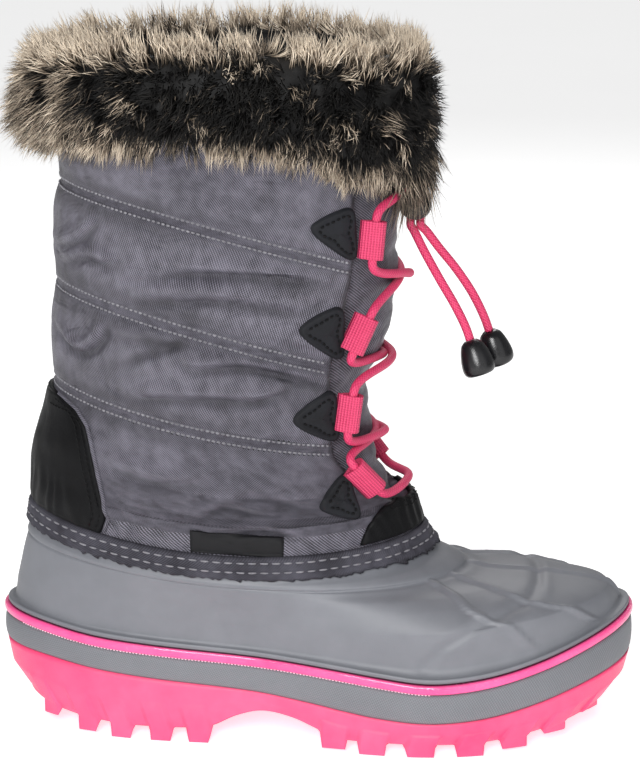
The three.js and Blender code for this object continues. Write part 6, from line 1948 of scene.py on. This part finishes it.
@dataclass
class FurCollar:
    """Collar of false fur: a dark roll round the shaft's top edge with combed locks of hair on it."""

    finishes: Finishes
    locks: int = 1640
    hairs: int = 21
    flap_locks: int = 130
    depth: float = 0.66
    seed: int = 17

    def point(self, turn: np.ndarray, way: np.ndarray, full: float) -> np.ndarray:
        """Roll's point: the shaft's top edge moved out level by the roll's profile, at its height.

        Args:
            turn: Turns round the shaft.
            way: Place round the roll, 0 at its foot outside, 1 at its edge inside the shaft.
            full: Share of the roll's whole thickness.

        Returns:
            The points.
        """
        degrees = np.degrees(np.mod(turn, FULL_TURN))
        degrees = np.where(degrees > 180.0, 360.0 - degrees, degrees)
        foot, top = LAST.rim * FUR.read("foot", degrees), LAST.rim * FUR.read("top", degrees)
        rim = np.full(np.shape(turn), 12.0)
        edge = LAST.upper(rim, turn)
        ahead = LAST.upper(rim, turn + 0.002) - LAST.upper(rim, turn - 0.002)
        out = unit(np.stack([ahead[..., 1], -ahead[..., 0], np.zeros(np.shape(turn))], axis=-1))
        facing = out[..., 0] * (edge[..., 0] - LAST.along(0.37)) + out[..., 1] * edge[..., 1]
        out = out * np.where(facing < 0.0, -1.0, 1.0)[..., None]
        away = ROLL.read("out", way) * FUR.read("out", degrees) * full - ROLL.read("inward", way)
        high = ROLL.read("high", way)
        middle = 0.5 * (foot + top)
        z = foot + (top - foot) * high - ROLL.read("drop", way)
        z = z + (middle - z) * (1.0 - full) * 0.45 * (way < 0.8)
        return np.stack([edge[..., 0] + out[..., 0] * away, edge[..., 1] + out[..., 1] * away, z], axis=-1)

    def roll(self) -> None:
        """The roll under the hair: closed round, lumpy like matted fur."""
        turn = np.linspace(0.0, FULL_TURN, 260, endpoint=False)
        way = np.linspace(0.0, 1.0, 44)
        around, along = np.meshgrid(turn, way)
        grid = self.point(around, along, self.depth)
        rim = 0.03 + 0.14 * hump(0.62, 0.72, 0.08, along) + 0.2 * smooth(0.14, 0.02, along)
        lump = 0.8 * ripple(grid, 9.0, 61) + 0.5 * ripple(grid, 4.0, 62)
        grid = grid + (self.point(around, along, self.depth + 0.04) - grid) * lump[..., None]
        work = Patchwork()
        work.grid(grid, wrap=True, tone=rim)
        below = np.concatenate([grid[0][:, :2], grid[-1][:, 2:]], axis=1)
        work.grid(np.stack([grid[-1], below, grid[0]]), wrap=True, tone=0.04)
        dressed(work.piece("fur_roll", [self.finishes.hair]), "fur", "fur_collar")

    def hair(self) -> None:
        """The locks: each draws its hairs' tips together, combed down at the foot and up at the rim.

        A hair is three-sided, starts on the roll, bends along a parabola and ends in a point. Its
        tone runs from the root's to its lock's own.
        """
        draw = np.random.default_rng(self.seed)
        n = self.locks
        turn = draw.uniform(0.0, FULL_TURN, n)
        way = draw.choice([0, 1, 2, 3], n, p=[0.21, 0.42, 0.28, 0.09])
        way = np.array([0.02, 0.16, 0.45, 0.7])[way] + np.array([0.14, 0.29, 0.27, 0.26])[way] * draw.uniform(0, 1, n)
        flap = np.arange(n) < self.flap_locks
        turn = np.where(flap, math.pi + draw.uniform(-0.42, 0.42, n), turn)
        way = np.where(flap, draw.uniform(0.03, 0.2, n), way)
        front = smooth(0.62, 0.3, np.abs(np.mod(turn, FULL_TURN) - math.pi))
        root = self.point(turn, way, self.depth - 0.04)
        eps = 0.01
        around = unit(self.point(turn + eps, way, self.depth) - self.point(turn - eps, way, self.depth))
        before, after = np.maximum(way - 0.01, 0.0), np.minimum(way + 0.01, 1.0)
        along = unit(self.point(turn, after, self.depth) - self.point(turn, before, self.depth))
        out = unit(np.cross(along, around))
        core = self.point(turn, way, self.depth + 0.05) - root
        flat = np.stack([core[:, 0], core[:, 1], np.zeros(n)], axis=1)
        out = out * np.where((out * flat).sum(-1) + 1e-9 < 0.0, -1.0, 1.0)[:, None]
        down = np.array([0.0, 0.0, -1.0])
        x = root[:, 0]
        back = smooth(25.0, -15.0, x)
        foot_zone = smooth(0.24, 0.08, way)
        top_zone = smooth(0.5, 0.62, way)
        inside = smooth(0.74, 0.82, way)
        middle_zone = np.clip(1.0 - foot_zone - top_zone, 0.0, 1.0)
        comb = (
            out * (0.55 + 0.25 * top_zone)[:, None]
            + down * (1.15 * foot_zone + 0.45 * middle_zone * (0.4 + back)
                      - top_zone * (1 - inside) - 0.9 * inside)[:, None]
            + np.array([-1.0, 0.0, 0.0]) * (0.55 * back + 0.18)[:, None]
            + around * draw.normal(0.0, 0.22, n)[:, None]
            + draw.normal(0.0, 0.16, (n, 3))
        )
        comb = unit(comb)
        length = 9.0 + 1.0 * foot_zone + 2.0 * top_zone - 3.0 * inside + 4.0 * back * middle_zone
        length = (length + 11.0 * front * foot_zone) * draw.uniform(0.7, 1.2, n)
        pale = 0.08 + 0.7 * foot_zone + 1.0 * top_zone + 0.6 * back * middle_zone
        pale = pale + draw.normal(0.0, 0.16, n) + 0.55 * (draw.uniform(0, 1, n) < 0.08)
        pale = np.clip((pale - 0.25 * front * foot_zone) * (1.0 - 0.35 * inside), 0.08, 1.0)
        k = self.hairs
        apart = draw.normal(0.0, 1.0, (n, k, 3)) * 1.9
        apart -= (apart * out[:, None]).sum(-1, keepdims=True) * out[:, None]
        start = root[:, None] + apart
        way_on = unit(comb[:, None] + draw.normal(0.0, 0.17, (n, k, 3)))
        reach = (length[:, None] * draw.uniform(0.7, 1.12, (n, k)))[..., None]
        tip = start + way_on * reach - apart * draw.uniform(0.35, 0.8, (n, k, 1))
        tip = tip + down * (0.9 * (reach / 10.0) ** 2) * (1.0 - 1.2 * top_zone)[:, None, None]
        half = start + (tip - start) * 0.5 + out[:, None] * reach * 0.1
        start, half, tip = (p.reshape(-1, 3) for p in (start, half, tip))
        tone_root = np.repeat(0.04 + 0.26 * top_zone, k)
        tone_tip = np.clip(np.repeat(pale, k) + draw.normal(0.0, 0.12, n * k), 0.03, 1.0)
        tone_half = 0.05 + (tone_tip - 0.05) * draw.uniform(0.4, 0.85, n * k) * np.repeat(1.0 + 0.25 * top_zone, k)
        girth = draw.uniform(0.15, 0.24, n * k)
        keep = self.clear(start, half, tip)
        parts = np.array_split(np.flatnonzero(keep), 2)
        for number, chosen in enumerate(parts, 1):
            self.strands(f"fur_locks_{number}", start[chosen], half[chosen], tip[chosen], girth[chosen],
                         np.stack([tone_root, tone_half, tone_tip])[:, chosen])

    @staticmethod
    def clear(*points: np.ndarray) -> np.ndarray:
        """Hairs that keep off the lock's button and the cord in front of it."""
        good = np.ones(len(points[0]), bool)
        line = np.linspace(0.0, 1.0, 6)[:, None, None]
        start, half, tip = points
        for p in np.concatenate([start + (half - start) * line, half + (tip - half) * line]):
            away = np.hypot(p[:, 0] - LOCK_MIDDLE[0], p[:, 2] - LOCK_MIDDLE[2])
            good &= ~((away < 6.6) & (p[:, 1] > -10.6) & (p[:, 1] < 6.6))
            good &= ~((np.abs(p[:, 0] - LOCK_MIDDLE[0]) < 5.0) & (np.abs(p[:, 1]) < 3.0) & (p[:, 2] < LOCK_MIDDLE[2]))
        return good

    def strands(
        self, name: str, start: np.ndarray, half: np.ndarray, tip: np.ndarray, girth: np.ndarray, tones: np.ndarray,
    ) -> None:
        """Write hairs as three-sided spikes: rings at the root and half way, a point at the tip."""
        way = unit(tip - start)
        side = unit(np.cross(way, np.array([0.37, 0.21, 0.9])))
        other = np.cross(way, side)
        turn = np.arange(3) * FULL_TURN / 3.0
        ring = np.cos(turn)[:, None, None] * side + np.sin(turn)[:, None, None] * other
        girth = girth[:, None]
        points = np.concatenate([start + ring * girth, half + ring * girth * 0.85, tip[None]]).transpose(1, 0, 2)
        count = len(start)
        first = np.arange(count)[:, None, None] * 7
        quads = np.array([(0, 1, 4, 3), (1, 2, 5, 4), (2, 0, 3, 5)])
        tris = np.array([(3, 4, 6), (4, 5, 6), (5, 3, 6), (0, 2, 1)])
        work = Patchwork()
        work.points.append(points.reshape(-1, 3))
        work.tones.append(np.repeat(tones, (3, 3, 1), axis=0).T.ravel())
        for shape in (quads, tris):
            faces = (first + shape[None]).reshape(-1, shape.shape[1])
            work.faces.append(faces)
            work.uvs.append(np.zeros((faces.size, 2)))
            work.slots.append(np.zeros(len(faces), int))
        work.count = count * 7
        dressed(work.piece(name, [self.finishes.hair], join=False), "fur")

    def make(self) -> None:
        """Make the roll and its hair."""
        self.roll()
        self.hair()


# Studio


@dataclass
class Studio:
    """Floor, world, lights and the camera that stands where the photograph was taken."""

    target: tuple[float, float, float] = (0.08287, 0.0, 0.13119)
    distance: float = 1.0
    azimuth: float = 2.747
    elevation: float = 13.739
    focal: float = 124.15
    key_power: float = 16.5
    fill_power: float = 2.0
    sky: float = 0.25
    glow: float = 0.62

    def camera(self) -> None:
        """Camera: turned about the target by the azimuth and elevation, its frame the photograph's."""
        a, e = math.radians(self.azimuth), math.radians(self.elevation)
        way = mathutils.Vector((math.sin(a) * math.cos(e), -math.cos(a) * math.cos(e), math.sin(e)))
        data = bpy.data.cameras.new("camera")
        data.sensor_fit = "VERTICAL"
        data.sensor_height = 36.0
        data.lens = self.focal
        data.clip_start = 0.05
        camera = bpy.data.objects.new("camera", data)
        camera.location = mathutils.Vector(self.target) + way * self.distance
        camera.rotation_euler = way.to_track_quat("Z", "Y").to_euler()
        bpy.context.scene.collection.objects.link(camera)
        bpy.context.scene.camera = camera

    def lamp(self, name: str, place: tuple[float, float, float], size: float, power: float) -> None:
        """Add a square soft light that faces the boot."""
        data = bpy.data.lights.new(name, "AREA")
        data.size = size
        data.energy = power
        lamp = bpy.data.objects.new(name, data)
        lamp.location = place
        way = mathutils.Vector(place) - mathutils.Vector(self.target)
        lamp.rotation_euler = way.to_track_quat("Z", "Y").to_euler()
        bpy.context.scene.collection.objects.link(lamp)

    def floor(self, groups: Groups) -> None:
        """Pale floor under the boot, its tone and gloss hardly varied."""
        span = np.linspace(-4000.0, 4000.0, 9)
        x, y = np.meshgrid(span, span)
        work = Patchwork()
        work.grid(np.stack([x, y, np.zeros(x.shape)], axis=-1))
        finish = Finish("pale_floor", (0.86, 0.86, 0.86), (0.9, 0.9, 0.9), (0.7, 0.85), 0.4).build(groups)
        shader = next(n for n in finish.node_tree.nodes if n.type == "BSDF_PRINCIPLED")
        shader.inputs["Emission Color"].default_value = (1.0, 1.0, 1.0, 1.0)
        shader.inputs["Emission Strength"].default_value = self.glow
        floor = work.piece("floor", [finish], join=False)

    def make(self, groups: Groups) -> None:
        """Make the floor, the world and the lights."""
        self.floor(groups)
        world = bpy.data.worlds.new("studio")
        world.use_nodes = True
        bench = Bench(world.node_tree)
        around = world.node_tree.nodes["Background"]
        around.inputs["Color"].default_value = (1.0, 1.0, 1.0, 1.0)
        path = bench.node("ShaderNodeLightPath")
        strength = bench.ramp(path.outputs["Is Camera Ray"], [(0.0, self.sky), (1.0, 1.0)])
        world.node_tree.links.new(strength, around.inputs["Strength"])
        bpy.context.scene.world = world
        self.lamp("key", (-0.05, -1.3, 0.66), 0.45, self.key_power)
        self.lamp("fill", (0.9, -0.9, 0.5), 0.9, self.fill_power)
        self.lamp("rim", (0.1, 1.0, 0.9), 0.7, 5.0)
        bpy.context.scene.view_settings.view_transform = "Standard"


def main() -> None:
    """Build the boot from its free cords outwards, then the studio."""
    logging.basicConfig(level=logging.INFO, format="%(name)s %(message)s")
    studio = Studio()
    studio.camera()
    finishes = Finishes()
    shaft = Shaft(finishes)
    for part in (LaceEnds(finishes), Sole(finishes), Foot(finishes), shaft, Trims(finishes, shaft),
                 Lacing(finishes, shaft), FurCollar(finishes)):
        LOG.info("making %s", type(part).__name__)
        part.make()
    studio.make(finishes.groups)


if __name__ == "__main__":
    main()
